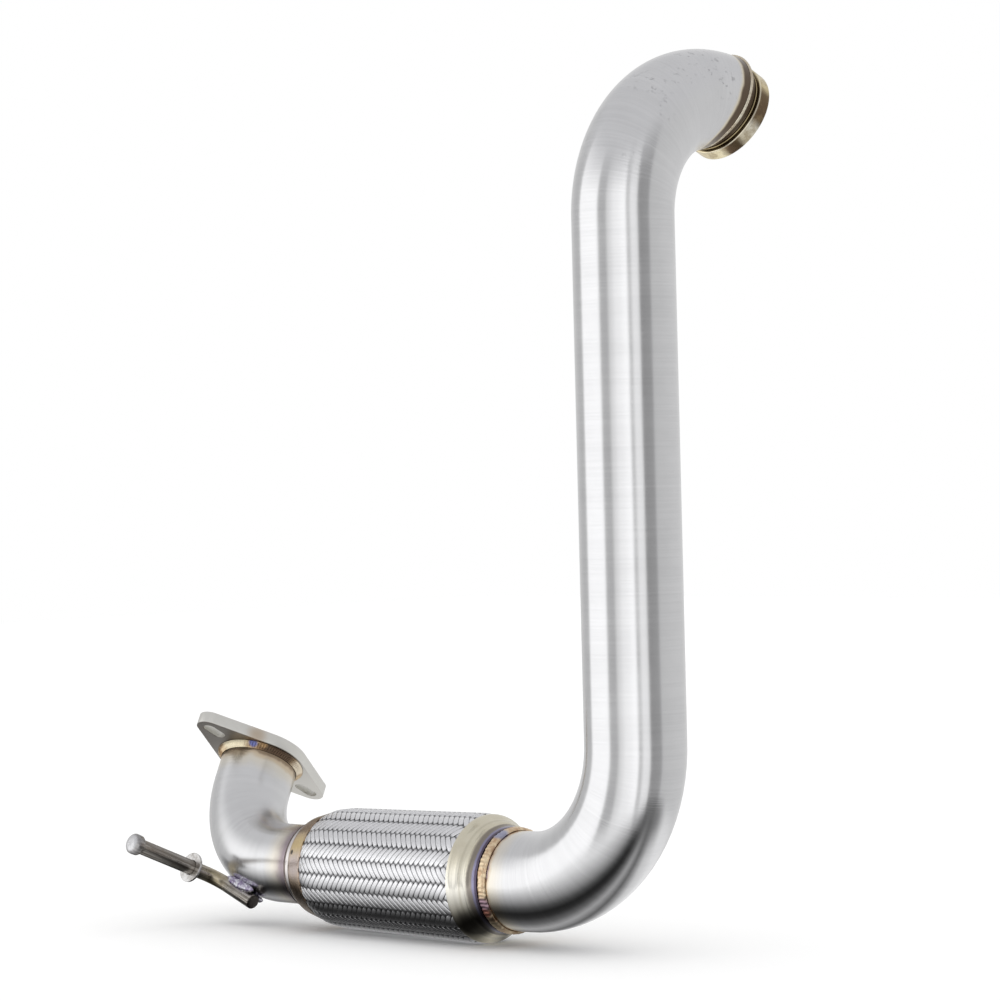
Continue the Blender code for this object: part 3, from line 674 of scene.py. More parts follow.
def outletCapFinish():
    # tan and pinkish collar, browner towards its top and bottom, a pinkish groove darkened as painted shadow
    # and a pale neck ring lightened partly by a painted highlight
    finish = Finish("outletCapSteel", 0.22)
    cloud = finish.cloud(70.0)
    colour = finish.mix(finish.turn.bump(0.76, 0.19), (0.26, 0.17, 0.10), (0.78, 0.62, 0.46))
    colour = finish.spots(colour, collarPatches, 0.8)
    colour = finish.layers(
        colour,
        (cloud.step(0.50, 0.75) * 0.35, (0.40, 0.28, 0.17)),
        # pale neck ring, partly its own pale colour and partly a painted highlight on its rounded edge; the
        # pinkish groove before it is darkened as a painted shadow
        (finish.run.step(0.2136, 0.2144) * 0.85, (0.74, 0.72, 0.73)),
        (finish.run.bump(0.2133, 0.0012) * 0.85, (0.22, 0.13, 0.14)),
        (finish.run.step(0.2192, 0.2201) * 0.7, heatColour["purple"]),
        (finish.spot(onFlex(0.2075, 291, 0.0410), 0.0026, 0.5) * 0.9, heatColour["soot"]),
    )
    return finish.done(colour, finish.about(cloud, 0.2), finish.relief(finish.rings(0.5, 1600), 0.00012))


collarPatches = [
    (onFlex(0.203, 300, 0.043), 0.015, (0.80, 0.62, 0.30), 0.75),
    (onFlex(0.203, 276, 0.043), 0.017, (0.72, 0.64, 0.64), 0.75),
    (onFlex(0.203, 243, 0.043), 0.017, (0.20, 0.13, 0.08), 0.8),
]
addPiece("inletCapSkin", inletCapMesh(), inletCapFinish(), "cap", "flex_inlet_cap", sharp=60)
addPiece("outletCapSkin", outletCapMesh(), outletCapFinish(), "cap", "flex_outlet_cap", sharp=50)
print("caps made")

braidLook = {
    # outline
    "first": 0.0240, "last": 0.2080, "capMouth": 0.0276, "outMouth": 0.1948,
    "inletRadius": 0.0494, "outletRadius": 0.0467, "tuckedRadius": 0.0475, "tuck": 0.010,
    "tuckSlope": 0.62, "tailRadius": 0.0421, "tailTaper": 0.265, "shoulder": 0.020,
    # floats
    "bands": 24, "pitch": 0.0054, "leanShare": 1.70, "rise": 0.00062, "reach": 1.60, "share": 0.98,
    "narrow": 0.76, "lengthwise": 11,
    "crosswise": [
        (-1.0, -0.00032), (-0.94, -0.00010), (-0.6, -0.00002), (0.0, 0.0), (0.6, -0.00002),
        (0.94, -0.00010), (1.0, -0.00032), (0.0, -0.0006),
    ],
    # wires
    "wires": 8, "roundness": 0.36, "diveShadeFrom": 0.0060, "diveShadeTo": 0.0084,
    # core
    "below": 0.0008, "coreWall": 0.0006, "coreColumns": 132,
}


def braidRadius(height):
    # The braid's outside: full and slowly tapering, tucked under the inlet cap, and dropping to the
    # outlet collar along a quarter of an ellipse, then tapering inside the collar.
    look = braidLook
    inside, outside = height - look["capMouth"], height - look["outMouth"]
    along = inside / (look["outMouth"] - look["capMouth"])
    full = look["inletRadius"] + (look["outletRadius"] - look["inletRadius"]) * along
    swell = np.clip(inside / look["tuck"], 0, 1)
    tucked = look["tuckedRadius"] + inside.clip(-1, 0) * look["tuckSlope"]
    full = full - (full - tucked) * (1 - swell) ** 2
    drop = np.clip((outside + look["shoulder"]) / look["shoulder"], 0, 1)
    full = full - (full - look["tailRadius"]) * (1 - np.sqrt(1 - drop**2))
    return np.where(outside > 0, look["tailRadius"] - outside * look["tailTaper"], full)


def braidLine():
    # the braid's outside as a table: distance along it, height, radius
    height = np.linspace(braidLook["first"] - 0.004, braidLook["last"] + 0.002, 4000)
    radius = braidRadius(height)
    return pathLength(np.stack([height, radius], -1)), height, radius


def onBraid(along, turn, lift):
    # a point at a distance along the braid's outside, lifted off it square to its slope
    distance, height, radius = braidLine()
    h, r = np.interp(along, distance, height), np.interp(along, distance, radius)
    slope = np.interp(along, distance, np.gradient(radius, height))
    lean = 1 / np.sqrt(1 + slope**2)
    return roundRun(axisRun(flexPlace), h - lift * slope * lean, r + lift * lean, turn)


def braidMesh():
    # A braid of two over two. The turn is cut into bands, and the floats of a band all lean one way
    # and those of the next band the other, half a pitch on. A float is a flat strip that rises by
    # rise cos(a), a from its middle, and dives under its neighbours at both ends.
    look = braidLook
    pitch, reach = look["pitch"], look["reach"]
    distance, _, _ = braidLine()
    bandTurn = 2 * math.pi / look["bands"]
    count = int(distance[-1] / pitch) + 1
    band, row = [a.ravel() for a in np.meshgrid(np.arange(look["bands"]), np.arange(count), indexing="ij")]
    middle = (row + np.where(band % 2, 0.25, 0.75)) * pitch
    keep = (middle > 0.6 * pitch) & (middle < distance[-1] - 0.6 * pitch)
    band, middle = band[keep], middle[keep]
    sense = np.where(band % 2, -1.0, 1.0)[:, None, None]
    x = np.linspace(-1, 1, look["lengthwise"])[None, :, None]
    y, drop = [a[None, None, :] for a in np.array(look["crosswise"]).T]
    half = look["share"] * pitch / 2 * (1 - look["narrow"] * np.abs(x) ** 2.4)
    along = middle[:, None, None] + sense * x * reach * 0.5 * pitch * look["leanShare"] + y * half
    turn = (band[:, None, None] + 0.5 + 0.5 * reach * x) * bandTurn
    arch = np.cos(0.5 * math.pi * reach * x)
    lift = look["rise"] * (np.sign(arch) * np.abs(arch) ** 0.7) + drop
    along, turn, lift = np.broadcast_arrays(along, turn, lift)
    lean = math.atan(pitch * look["leanShare"] / (bandTurn * look["inletRadius"]))
    length = reach * bandTurn * look["inletRadius"] / 2 / math.cos(lean)
    lengthwise = np.broadcast_to(x * length + sense * y * half * math.sin(lean), along.shape)
    crosswise = np.broadcast_to((y + 1) / 2, along.shape)
    seed = (np.arange(len(band)) * 0.618034) % 1.0
    return floatsMesh(onBraid(along, turn, lift), crosswise, lengthwise, seed)


def floatsMesh(points, crosswise, lengthwise, seed):
    # many small closed strips in one mesh: points is (strip, along, round), and each strip's map has
    # its own share across and its metres along, so that the map's u runs square to the wires
    count, rows, columns = points.shape[:3]
    one = rows * columns
    i = np.arange(rows - 1)[:, None]
    j = np.arange(columns)[None, :]
    right, below = (j + 1) % columns, (i + 1) * columns
    quads = np.stack([i * columns + j, i * columns + right, below + right, below + j], -1).reshape(-1, 4)
    offset = np.arange(count)[:, None, None] * one
    ends = np.arange(columns)[::-1], (rows - 1) * columns + np.arange(columns)
    faces = (quads[None] + offset).reshape(-1, 4).tolist()
    for end in ends:
        faces += (end[None] + offset[:, 0]).tolist()
    across, along = crosswise.reshape(count, one), lengthwise.reshape(count, one)
    corners = [quads.ravel(), *ends]
    uv = [np.stack([across[:, corner], along[:, corner]], -1).reshape(-1, 2) for corner in corners]
    mesh = mapMesh(points.reshape(-1, 3), faces, np.vstack(uv))
    tone = mesh.attributes.new("tone", "FLOAT", "POINT")
    tone.data.foreach_set("value", np.repeat(seed, one).astype(np.float32))
    return mesh


def braidFinish():
    # Bright drawn wire. Across a wire the face turns as on a round bar, out to roundness of its half
    # width: the tangent direction is that share and the outward direction sqrt(1 - share^2).
    finish = Finish("braidWire", 0.2)
    tone = finish.put("ShaderNodeAttribute", {"attribute_name": "tone"}, None, 2)
    share = ((finish.turn * braidLook["wires"]).math("FRACT") - 0.5) * 2.0
    slant = share * braidLook["roundness"]
    out = (1.0 - slant * slant) ** 0.5
    tilt = finish.vector(slant * 0.5 + 0.5, 0.5, out * 0.5 + 0.5)
    normal = finish.put("ShaderNodeNormalMap", {"uv_map": "run"}, {"Color": tilt})
    # painted shade: dark lines between the wires and along each float's edges, and near black where a float
    # dives under its neighbours
    edge = (finish.turn - 0.5).size().step(0.44, 0.5)
    diveShade = finish.run.size().step(braidLook["diveShadeFrom"], braidLook["diveShadeTo"])
    colour = finish.layers(
        finish.mix(tone * 0.5 + finish.cloud(30.0, 2.0, 0.5) * 0.5, (0.82, 0.82, 0.84), (0.94, 0.94, 0.96)),
        (share.size().step(0.80, 1.0) * 0.4 + edge * 0.3, (0.20, 0.20, 0.21)),
        (diveShade * 0.85, (0.04, 0.04, 0.045)),
    )
    return finish.done(colour, tone * 0.08 + 0.16, normal)


def braidCoreMesh():
    # a dark sleeve just under the strands, closed inside
    height = np.linspace(braidLook["first"] - 0.002, braidLook["last"], 90)
    outer = np.stack([height, braidRadius(height) - braidLook["below"]], -1)
    inner = outer[::-1] - [0, braidLook["coreWall"]]
    return turnedMesh(flexPlace, np.vstack([outer, inner]), braidLook["coreColumns"])


def coreFinish():
    # the shaded wires under the top strands
    finish = Finish("braidCoreWire", 0.5)
    return finish.done(finish.mix(finish.cloud(600.0, 2.0), (0.02, 0.02, 0.021), (0.07, 0.07, 0.072)))


addPiece("braidSkin", braidMesh(), braidFinish(), "braid", "flex_braid")
addPiece("braidCore", braidCoreMesh(), coreFinish(), "braid")
print("braid made")

inletBead = {"half": 0.00385, "crown": 0.0029, "seat": 0.0386, "end": 0.0037, "columns": 540, "ripples": 76}
fillet = {"hollow": 0.72, "ripple": 0.13, "columns": 480, "outlet": 0.0030, "flange": 0.0045}


def inletBeadMesh():
    # a ribbon of a bead: its crown is (1 - x^4) high, waves at both edges, and fine ripples cross it
    size = inletBead
    turn = turnAngles(size["columns"])
    share = np.linspace(-1, 1, 19)[:, None]
    edge = 0.00030 * np.sin(9 * turn) + 0.00024 * np.sin(23 * turn + 1) + 0.00016 * np.sin(57 * turn)
    height = np.minimum(size["half"] * 0.96 * share + edge * 0.8, size["end"])
    ripple = np.cos(size["ripples"] * turn + 2.2 * share**2 + 1.5 * np.sin(7 * turn))
    rise = size["crown"] * (1 - np.abs(share) ** 3.2) ** 0.6 * (0.91 + 0.055 * ripple)
    rise = rise * (0.80 + 0.16 * share)
    h = np.vstack([height, np.full(turn.shape, size["end"]), np.full(turn.shape, -size["half"])])
    r = np.vstack([size["seat"] + rise, np.full((2, turn.size), size["seat"] - 0.0002)])
    along = np.concatenate([share[:, 0] * size["half"], [size["end"], -size["half"], -size["half"]]])
    return gridMesh(roundRun(axisRun(flexPlace), h, r, turn), turnShares(turn.size), along)


def filletMesh(place, start, size, ripples, back=False):
    # A fillet turned round the elbow's tube: from the wall at start it curves to the tube at start +
    # size, as (size (1 - sin a), size (1 - cos a)) would, with ripples across. back runs it the other way.
    a = np.linspace(0, math.pi / 2, 12)
    hollow, seat = fillet["hollow"], elbowRadius + gap
    h = size * (1 - np.sin(a)) * hollow + size * np.cos(a) * (1 - hollow)
    r = size * (1 - np.cos(a)) * hollow + size * np.sin(a) * (1 - hollow)
    outline = np.stack([start + h[::-1], seat + r[::-1]], -1)
    outline = np.vstack([outline, [(start + size, seat), (start, seat)]])
    if back:
        outline[:, 0] = 2 * start - outline[:, 0]
        outline = outline[::-1]

    def wave(h, r, t):
        away = np.abs(h - start) / size
        lift = (1 - away) * away * 4 * ((r - seat) > 1e-5)
        ripple = np.cos(ripples * t + 2.5 * away + 1.2 * np.sin(5 * t))
        return h, r + size * fillet["ripple"] * lift * ripple

    return turnedMesh(place, outline, fillet["columns"], wave)


inletPatches = (
    (onFlex(0.0, 248, 0.041), 0.0075, (0.42, 0.28, 0.38), 0.85),
    (onFlex(0.0, 238, 0.041), 0.0050, (0.95, 0.38, 0.30), 0.8),
    (onFlex(0.0, 336, 0.041), 0.0080, (0.30, 0.38, 0.62), 0.7),
)
inletMetal = weldFinish("inletBeadMetal", (0.88, 0.72, 0.50), (0.60, 0.41, 0.26), inletPatches, 3.0)
outletMetal = weldFinish("outletFilletMetal", (0.46, 0.38, 0.34), (0.24, 0.19, 0.18))
outletFillet = filletMesh(flexPlace, flexSkin["outletEnd"] + gap, fillet["outlet"], 110)
addPiece("inletBead", inletBeadMesh(), inletMetal, "weld", "flex_inlet_weld")
addPiece("outletFillet", outletFillet, outletMetal, "weld", "flex_outlet_weld")
print("flex welds made")

# Elbow and outlet flange
elbowSkin = {"top": 0.0065, "columns": 132, "rows": 84, "start": 0.0015}
elbowLegs, elbowRun = makeRun(
    elbowStart + axisX * elbowSkin["start"], -axisX, axisZ,
    [
        (elbowSkin["start"] + tubeLine["elbowStub"],),
        (tubeLine["elbowBend"], tubeLine["elbowAngle"], elbowSide),
        (tubeLine["elbowTail"] + elbowSkin["top"],),
    ],
)
elbowLength = elbowRun - elbowSkin["start"] - elbowSkin["top"]
flangeFoot, flangeAxis, _ = onRun(elbowLegs, elbowRun - elbowSkin["top"])


def elbowMesh():
    # the wall's outside and inside on the elbow's line
    station = np.linspace(0, elbowRun, elbowSkin["rows"])[:, None]
    turn = turnAngles(elbowSkin["columns"])
    outside = roundRun(elbowLegs, station, elbowRadius, turn)
    inside = roundRun(elbowLegs, station, elbowRadius - tubeLine["wall"], turn)[::-1]
    along = station[:, 0] - elbowSkin["start"]
    along = np.concatenate([along, along[::-1], along[:1]])
    return gridMesh(np.vstack([outside, inside]), turnShares(turn.size), along)


def elbowTints(finish, colour):
    # purple and brown beside the flex collar, and straw under the flange
    wander = (finish.cloud(80.0, 2.0, 0.5) - 0.5) * 0.008
    reach = finish.run + wander
    top = elbowLength - finish.run + wander
    return finish.layers(
        colour,
        (reach.step(0.040, 0.022) * 0.4, heatColour["straw"]),
        (reach.step(0.028, 0.015) * 0.75, heatColour["purple"]),
        (top.step(0.026, 0.012) * 0.4, heatColour["straw"]),
        (top.step(0.014, 0.0085) * 0.6, heatColour["tan"]),
        (top.step(0.0085, 0.0055) * 0.7, heatColour["brown"]),
    )


elbowSteel = steelFinish("elbowSteel", steelLook["elbow"], elbowTints)
addPiece("elbowSkin", elbowMesh(), elbowSteel, "tube", "elbow_tube", sharp=50)

flangeSkin = {
    "thickness": 0.010, "waist": 0.038, "ear": 0.01125, "earCentre": 0.0575, "turn": math.radians(-7.8),
    "slotCentre": 0.0525, "slotLength": 0.0205, "slotWidth": 0.0108, "ease": 0.0005,
}
level = unit(np.cross(elbowSide, -axisX))
acrossFlange = np.cross(flangeAxis, level)
earAxis = turnedFrom(level, acrossFlange, flangeSkin["turn"])
flangePlace = (flangeFoot, flangeAxis, earAxis)


def onFlangeRing(turn, radius):
    # a point round the flange's foot, turn from the near ear
    return aboutAxis(flangeFoot, level, acrossFlange, turn, radius)


def arcPoints(centre, radius, start, end, count):
    # (centre + radius cos a, radius sin a) for count steps of a
    a = np.linspace(start, end, count + 1)
    return np.stack([centre + radius * np.cos(a), radius * np.sin(a)], -1)


def flangeMesh():
    # The outline is two ears joined to a round waist by straight lines, with a round hole and two
    # slots. A flat curve fills it and eases its edges, and its mesh is then put in place.
    size = flangeSkin
    tangent = math.acos((size["waist"] - size["ear"]) / size["earCentre"])
    half, end = (size["slotLength"] - size["slotWidth"]) / 2, size["slotWidth"] / 2
    loops = [
        np.vstack([
            arcPoints(size["earCentre"], size["ear"], -tangent, tangent, 28),
            arcPoints(0, size["waist"], tangent, math.pi - tangent, 40),
            arcPoints(-size["earCentre"], size["ear"], math.pi - tangent, math.pi + tangent, 28),
            arcPoints(0, size["waist"], math.pi + tangent, 2 * math.pi - tangent, 40),
        ]),
        arcPoints(0, elbowRadius + gap, 0, 2 * math.pi, 96)[:-1],
    ]
    for slot in (-size["slotCentre"], size["slotCentre"]):
        loops.append(np.vstack([
            arcPoints(slot + half, end, -math.pi / 2, math.pi / 2, 20),
            arcPoints(slot - half, end, math.pi / 2, 1.5 * math.pi, 20),
        ]))
    plate = bpy.data.curves.new("plate", "CURVE")
    plate.dimensions = "2D"
    plate.fill_mode = "BOTH"
    plate.extrude = size["thickness"] / 2 - size["ease"]
    plate.bevel_depth = size["ease"]
    plate.bevel_resolution = 2
    plate.offset = -size["ease"]
    for loop in loops:
        spline = plate.splines.new("POLY")
        spline.points.add(len(loop) - 1)
        spline.use_cyclic_u = True
        spline.points.foreach_set("co", np.column_stack([loop, 0 * loop[:, 0], 1 + 0 * loop[:, 0]]).ravel())
    flat = bpy.data.objects.new("plate", plate)
    bpy.context.scene.collection.objects.link(flat)
    mesh = bpy.data.meshes.new_from_object(flat.evaluated_get(bpy.context.evaluated_depsgraph_get()))
    bpy.data.objects.remove(flat)
    mesh.materials.clear()
    points = np.empty(len(mesh.vertices) * 3)
    mesh.vertices.foreach_get("co", points)
    points = points.reshape(-1, 3)
    across = np.cross(flangeAxis, earAxis)
    middle = flangeFoot + flangeAxis * size["thickness"] / 2
    placed = middle + points[:, 0:1] * earAxis + points[:, 1:2] * across + points[:, 2:3] * flangeAxis
    mesh.vertices.foreach_set("co", placed.ravel())
    mesh.shade_smooth()
    return mesh


def flangeFinish():
    # satin plate: warm grey edge, painted shade on its underside that deepens towards its near ear, a stain
    # by the weld
    finish = Finish("flangeSteel", 0.36)
    cloud = finish.cloud(45.0, 4.0)
    # painted shade: the underside is darkened, more towards the near ear
    under = finish.along(flangeFoot, flangeAxis).step(0.0006, 0.0001)
    near = finish.along(flangeFoot, level).step(-0.05, 0.045)
    stain = finish.spot(onFlangeRing(34, 0.038) + flangeAxis * 0.004, 0.012, 0.8)
    colour = finish.layers(
        finish.mix(cloud, (0.70, 0.69, 0.65), (0.84, 0.83, 0.79)),
        (under * (near * 0.6 + 0.3), (0.17, 0.15, 0.13)),
        (stain * 0.6, (0.50, 0.36, 0.22)),
    )
    return finish.done(colour, finish.about(cloud, 0.2), finish.relief(finish.cloud(900.0, 2.0), 0.0001, 0.7))


def innerBeadMesh():
    # a low round bead inside the flange, between the tube's end and the plate's hole, finely rippled
    low, high = elbowSkin["top"] + gap, flangeSkin["thickness"] - 0.0012
    a = np.linspace(0, math.pi / 2, 8)
    curve = np.stack([low + (high - low) * np.sin(a), elbowRadius - tubeLine["wall"] * np.cos(a)], -1)
    outline = np.vstack([[(low, elbowRadius - 0.0001), (high, elbowRadius)], curve[::-1][1:]])

    def wave(h, r, t):
        return h, r + 0.00008 * np.cos(80 * t) * (r < elbowRadius - 0.0002)

    return turnedMesh(flangePlace, outline, 240, wave)


flangePatches = (
    (onFlangeRing(0, 0.034), 0.016, (0.96, 0.88, 0.66), 0.8),
    (onFlangeRing(70, 0.034), 0.0215, (0.10, 0.065, 0.045), 0.95),
    (onFlangeRing(118, 0.034), 0.014, (0.82, 0.74, 0.60), 0.8),
    (onFlangeRing(46, 0.035), 0.0042, (0.42, 0.27, 0.14), 0.9),
    (onFlangeRing(31, 0.034), 0.0052, (0.16, 0.19, 0.46), 0.95),
)
flangeMetal = weldFinish("flangeFilletMetal", (0.74, 0.60, 0.40), (0.34, 0.22, 0.12), flangePatches, 2.0)
innerMetal = weldFinish("innerBeadMetal", (0.55, 0.46, 0.36), (0.35, 0.27, 0.20))
flangeFillet = filletMesh(flangePlace, -gap, fillet["flange"], 96, back=True)
addPiece("flangeSkin", flangeMesh(), flangeFinish(), "flange", "outlet_flange", sharp=25)
addPiece("flangeFillet", flangeFillet, flangeMetal, "weld", "flange_weld")
addPiece("innerBead", innerBeadMesh(), innerMetal, "weld", "flange_inner_weld")
print("elbow and flange made")

# Hanger rod, its washer and its welds
hanger = {
    "od": 0.012, "bend": 0.015, "station": math.radians(17.8), "round": math.radians(12.2),
    "skew": math.radians(-5.0), "ahead": 0.0262, "behind": 0.0240, "arm": 0.0960,
    "armTurn": math.radians(94.5), "armLift": math.radians(22.7), "headOd": 0.0166, "head": 0.0095,
    "washerOd": 0.0245, "washer": 0.0022, "washerAt": 0.0285, "hubOd": 0.0160, "hub": 0.0034,
    "washerEase": 0.0004, "bead": 0.0056, "beadSwell": 1.4, "beadHalf": 0.0124,
    "beadSpan": math.radians(9.0), "beadShift": math.radians(3.2), "beadLap": 0.84,
}
rodRadius = hanger["od"] / 2
rodOffset = elbowRadius + gap + rodRadius


def onElbow(station, turn):
    # centre, heading and outward normal on the elbow's bend; turn is measured from its outer side
    station, turn = [np.asarray(angle, float)[..., None] for angle in (station, turn)]
    radius = tubeLine["elbowBend"]
    bendStart = elbowStart - axisX * tubeLine["elbowStub"]
    centre = bendStart - axisX * radius * np.sin(station) + elbowSide * radius * (1 - np.cos(station))
    heading = elbowSide * np.sin(station) - axisX * np.cos(station)
    outer = -(elbowSide * np.cos(station) + axisX * np.sin(station))
    return centre, heading, outer * np.cos(turn) + np.cross(heading, outer) * np.sin(turn)


touchCentre, touchHeading, touchNormal = onElbow(hanger["station"], hanger["round"])
touch = touchCentre + touchNormal * rodOffset
legSide = np.cross(touchHeading, touchNormal)
leg = legSide * math.sin(hanger["skew"]) - touchHeading * math.cos(hanger["skew"])
armFlat = turnedFrom(leg, np.cross(touchNormal, leg), hanger["armTurn"])
arm = turnedFrom(armFlat, touchNormal, hanger["armLift"])
corner = touch - leg * hanger["ahead"]
rodTurn = math.acos(float(-leg @ arm))
runOut = hanger["bend"] * math.tan(rodTurn / 2)
rodTowards = unit(arm - leg * float(arm @ leg))
rodLegs, rodLength = makeRun(
    touch + leg * hanger["behind"], -leg, unit(np.cross(rodTowards, leg)),
    [
        (hanger["behind"] + hanger["ahead"] - runOut,),
        (hanger["bend"], rodTurn, rodTowards),
        (hanger["arm"] - runOut,),
    ],
)


def rodMesh():
    # A round bar along the rod's line. Its radius is a line of (station, radius): a sheared end with
    # a small chamfer, the bar, then the upset head with a domed and dimpled face.
    head = rodLength - hanger["head"]
    top = hanger["headOd"] / 2
    ends = [(0.0, 0.0015), (0.0, 0.0046), (0.0004, 0.0056), (0.0010, rodRadius)]
    bar = [(s, rodRadius) for s in np.linspace(0.003, head - 0.0030, 60)]
    headLine = smoothLine([
        (head - 0.0014, rodRadius), (head - 0.0006, rodRadius + 0.0003), (head + 0.0002, top - 0.0007),
        (head + 0.0012, top - 0.0001), (head + 0.0030, top), (rodLength - 0.0034, top),
        (rodLength - 0.0016, top - 0.0012), (rodLength - 0.0005, top - 0.0034),
        (rodLength - 0.0001, top - 0.0052), (rodLength, 0.0010),
    ], 4)
    outline = np.vstack([ends, bar, headLine])
    points = roundRun(rodLegs, outline[:, 0:1], outline[:, 1:2], turnAngles(64))
    return gridMesh(points, turnShares(64), outline[:, 0], closed=False)


def rodFinish():
    # drawn bar with lengthwise dark streaks and bright streaks that are partly painted highlight, an
    # olive-gold band round the bend near the weld that is partly tint and partly painted highlight, painted
    # shade and a painted highlight on the head, and painted shade on the cut end
    finish = Finish("rodSteel", 0.3)
    run, streak, cloud = finish.run, finish.rings(3.0, 14.0, 4.0), finish.cloud(110.0)
    colour = finish.layers(
        finish.mix(streak.step(0.36, 0.62), (0.17, 0.15, 0.13), (0.55, 0.52, 0.48)),
        (cloud.step(0.52, 0.70) * 0.5, (0.24, 0.20, 0.16)),
        # olive-gold band round the bend: partly tint, partly painted highlight
        (run.bump(0.050, 0.026) * 0.45, (0.52, 0.42, 0.20)),
        # painted shade on the head, then a painted highlight on its domed face
        (run.step(rodLength - 0.010, rodLength - 0.004) * 0.6, (0.36, 0.36, 0.38)),
        (run.step(rodLength - 0.0020, rodLength - 0.0006) * 0.75, (0.86, 0.86, 0.88)),
        # painted shade: the cut end is made near black
        (run.step(0.0012, 0.0003) * 0.85, (0.07, 0.06, 0.055)),
    )
    return finish.done(colour, finish.about(cloud, 0.3), finish.relief(streak, 0.0006, 0.7))


def washerMesh():
    # the plate and its hub as one eased outline
    hole, rim, hub = rodRadius + 0.0002, hanger["washerOd"] / 2, hanger["hubOd"] / 2
    corners = [
        (-hanger["hub"], hub - 0.0008), (-0.0002, hub), (0.0, rim - 0.0003), (hanger["washer"], rim),
        (hanger["washer"], hole), (-hanger["hub"], hole),
    ]
    place = (corner + arm * hanger["washerAt"], arm, unit(np.cross(arm, axisY)))
    return turnedMesh(place, easedLoop(corners, hanger["washerEase"]), 96)


def washerFinish():
    # grey stamped steel, with dark shade where the hub meets the plate
    finish = Finish("washerSteel", 0.27)
    cloud = finish.cloud(150.0)
    steel = finish.mix(cloud.step(0.35, 0.65), (0.44, 0.42, 0.40), (0.76, 0.75, 0.74))
    colour = finish.mix(finish.run.bump(-0.0002, 0.0012) * 0.8, steel, (0.12, 0.11, 0.10))
    return finish.done(colour, finish.about(cloud, 0.2), finish.relief(cloud, 0.0003, 0.6))


def beadMesh(side):
    # A blob of weld in the crease between rod and elbow: a bar along the crease whose radius is
    # r sqrt(1 - x^2) lumped by ripples.
    radius = hanger["bead"] / 2
    reach = elbowRadius + gap + radius
    toRod = rodRadius + gap * 1.5 + radius
    beadTurn = math.acos((reach**2 + rodOffset**2 - toRod**2) / (2 * reach * rodOffset))
    share = np.linspace(-0.995, 0.995, 61)
    ahead = hanger["beadSpan"] * share + hanger["beadShift"]
    drift = np.arctan2(tubeLine["elbowBend"] * ahead * math.tan(hanger["skew"]), rodOffset)
    around = hanger["round"] + side * beadTurn * hanger["beadLap"] + drift
    centre, heading, normal = onElbow(hanger["station"] - ahead, around)
    ripple = 0.92 + 0.10 * np.cos(12 * math.pi * share) + 0.07 * np.sin(9 * share + side)
    r = (radius * np.sqrt(1.0 - share**2) * ripple * hanger["beadSwell"])[:, None, None]
    turn = turnAngles(32)[..., None]
    other = np.cross(heading, normal)
    outward = normal[:, None] * np.cos(turn) + other[:, None] * np.sin(turn)
    points = (centre + normal * reach)[:, None] + r * outward
    return gridMesh(points, turnShares(32), share * hanger["beadHalf"], closed=False)


beadPatches = (
    (touch - leg * 0.012, 0.010, (0.70, 0.56, 0.34), 0.8),
    (touch + leg * 0.001, 0.008, (0.26, 0.22, 0.50), 0.85),
    (touch + leg * 0.012, 0.008, (0.86, 0.96, 1.0), 0.95),
    (touch + leg * 0.020, 0.006, (0.90, 0.82, 0.84), 0.9),
)
addPiece("rodSkin", rodMesh(), rodFinish(), "rod", "hanger_rod", sharp=50)
addPiece("washerSkin", washerMesh(), washerFinish(), "tube", "hanger_washer", sharp=50)
for name, node, side in (("hangerBeadNear", "hanger_weld_near", 1), ("hangerBeadFar", "hanger_weld_far", -1)):
    beadMetal = weldFinish(name + "Metal", (0.88, 0.88, 0.94), (0.30, 0.24, 0.40), beadPatches, 4.0)
    addPiece(name, beadMesh(side), beadMetal, "weld", node)
print("hanger made")


# The nodes that keep their own mesh: bellows and liners, deep inside the flex section
def innerFinish(name, light, dark):
    # plain sheet, clouded by exhaust heat
    finish = Finish(name, 0.4)
    cloud, fine = finish.cloud(50.0), finish.cloud(500.0, 2.0)
    relief = finish.relief(fine, 0.0001, 0.5)
    return finish.done(finish.mix(cloud, dark, light), finish.about(cloud, 0.2), relief)


for name, light, dark in (
    ("flex_bellows", (0.66, 0.64, 0.60), (0.48, 0.45, 0.40)),
    ("flex_inlet_liner", (0.55, 0.52, 0.47), (0.36, 0.32, 0.27)),
    ("flex_outlet_liner", (0.55, 0.52, 0.47), (0.36, 0.32, 0.27)),
):
    nodes[name].data.materials.clear()
    nodes[name].data.materials.append(innerFinish(name + "Sheet", light, dark))
print("inner nodes finished")

# Floor, world and camera
floorLevel = float(min(corner[2] for corner in cadBox))
studio = {
    "floorSize": 6.0, "floorWhite": 1.07, "floorDrop": 0.0002,
    "facing": (0.687163, -0.726503), "rightward": (0.726503, 0.687163),
    "flexMiddle": (0.262, 0.124), "halfLength": 0.195, "fadeFrom": 0.14, "fadeTo": 0.32,
    "nearest": -0.1, "span": 0.8,
    "besideBend": (0.150, -0.100), "besideRadius": 0.130, "besideLevel": 0.15, "besideShare": 0.85,
    "domeFrom": math.radians(10), "domeTo": math.radians(46), "dome": (0.68, 0.68, 0.69),
}

# What the metal mirrors of the floor, a painted shadow darkest a little in front of the part, by metres from
# the flex section towards the near side
floorBands = [
    (-0.10, 0.95), (-0.045, 0.75), (-0.030, 0.45), (-0.012, 0.14), (0.006, 0.45), (0.018, 0.16),
    (0.030, 0.035), (0.041, 0.017), (0.055, 0.095), (0.075, 0.35), (0.100, 0.60), (0.150, 0.94),
    (0.29, 1.16), (0.60, 1.18),
]

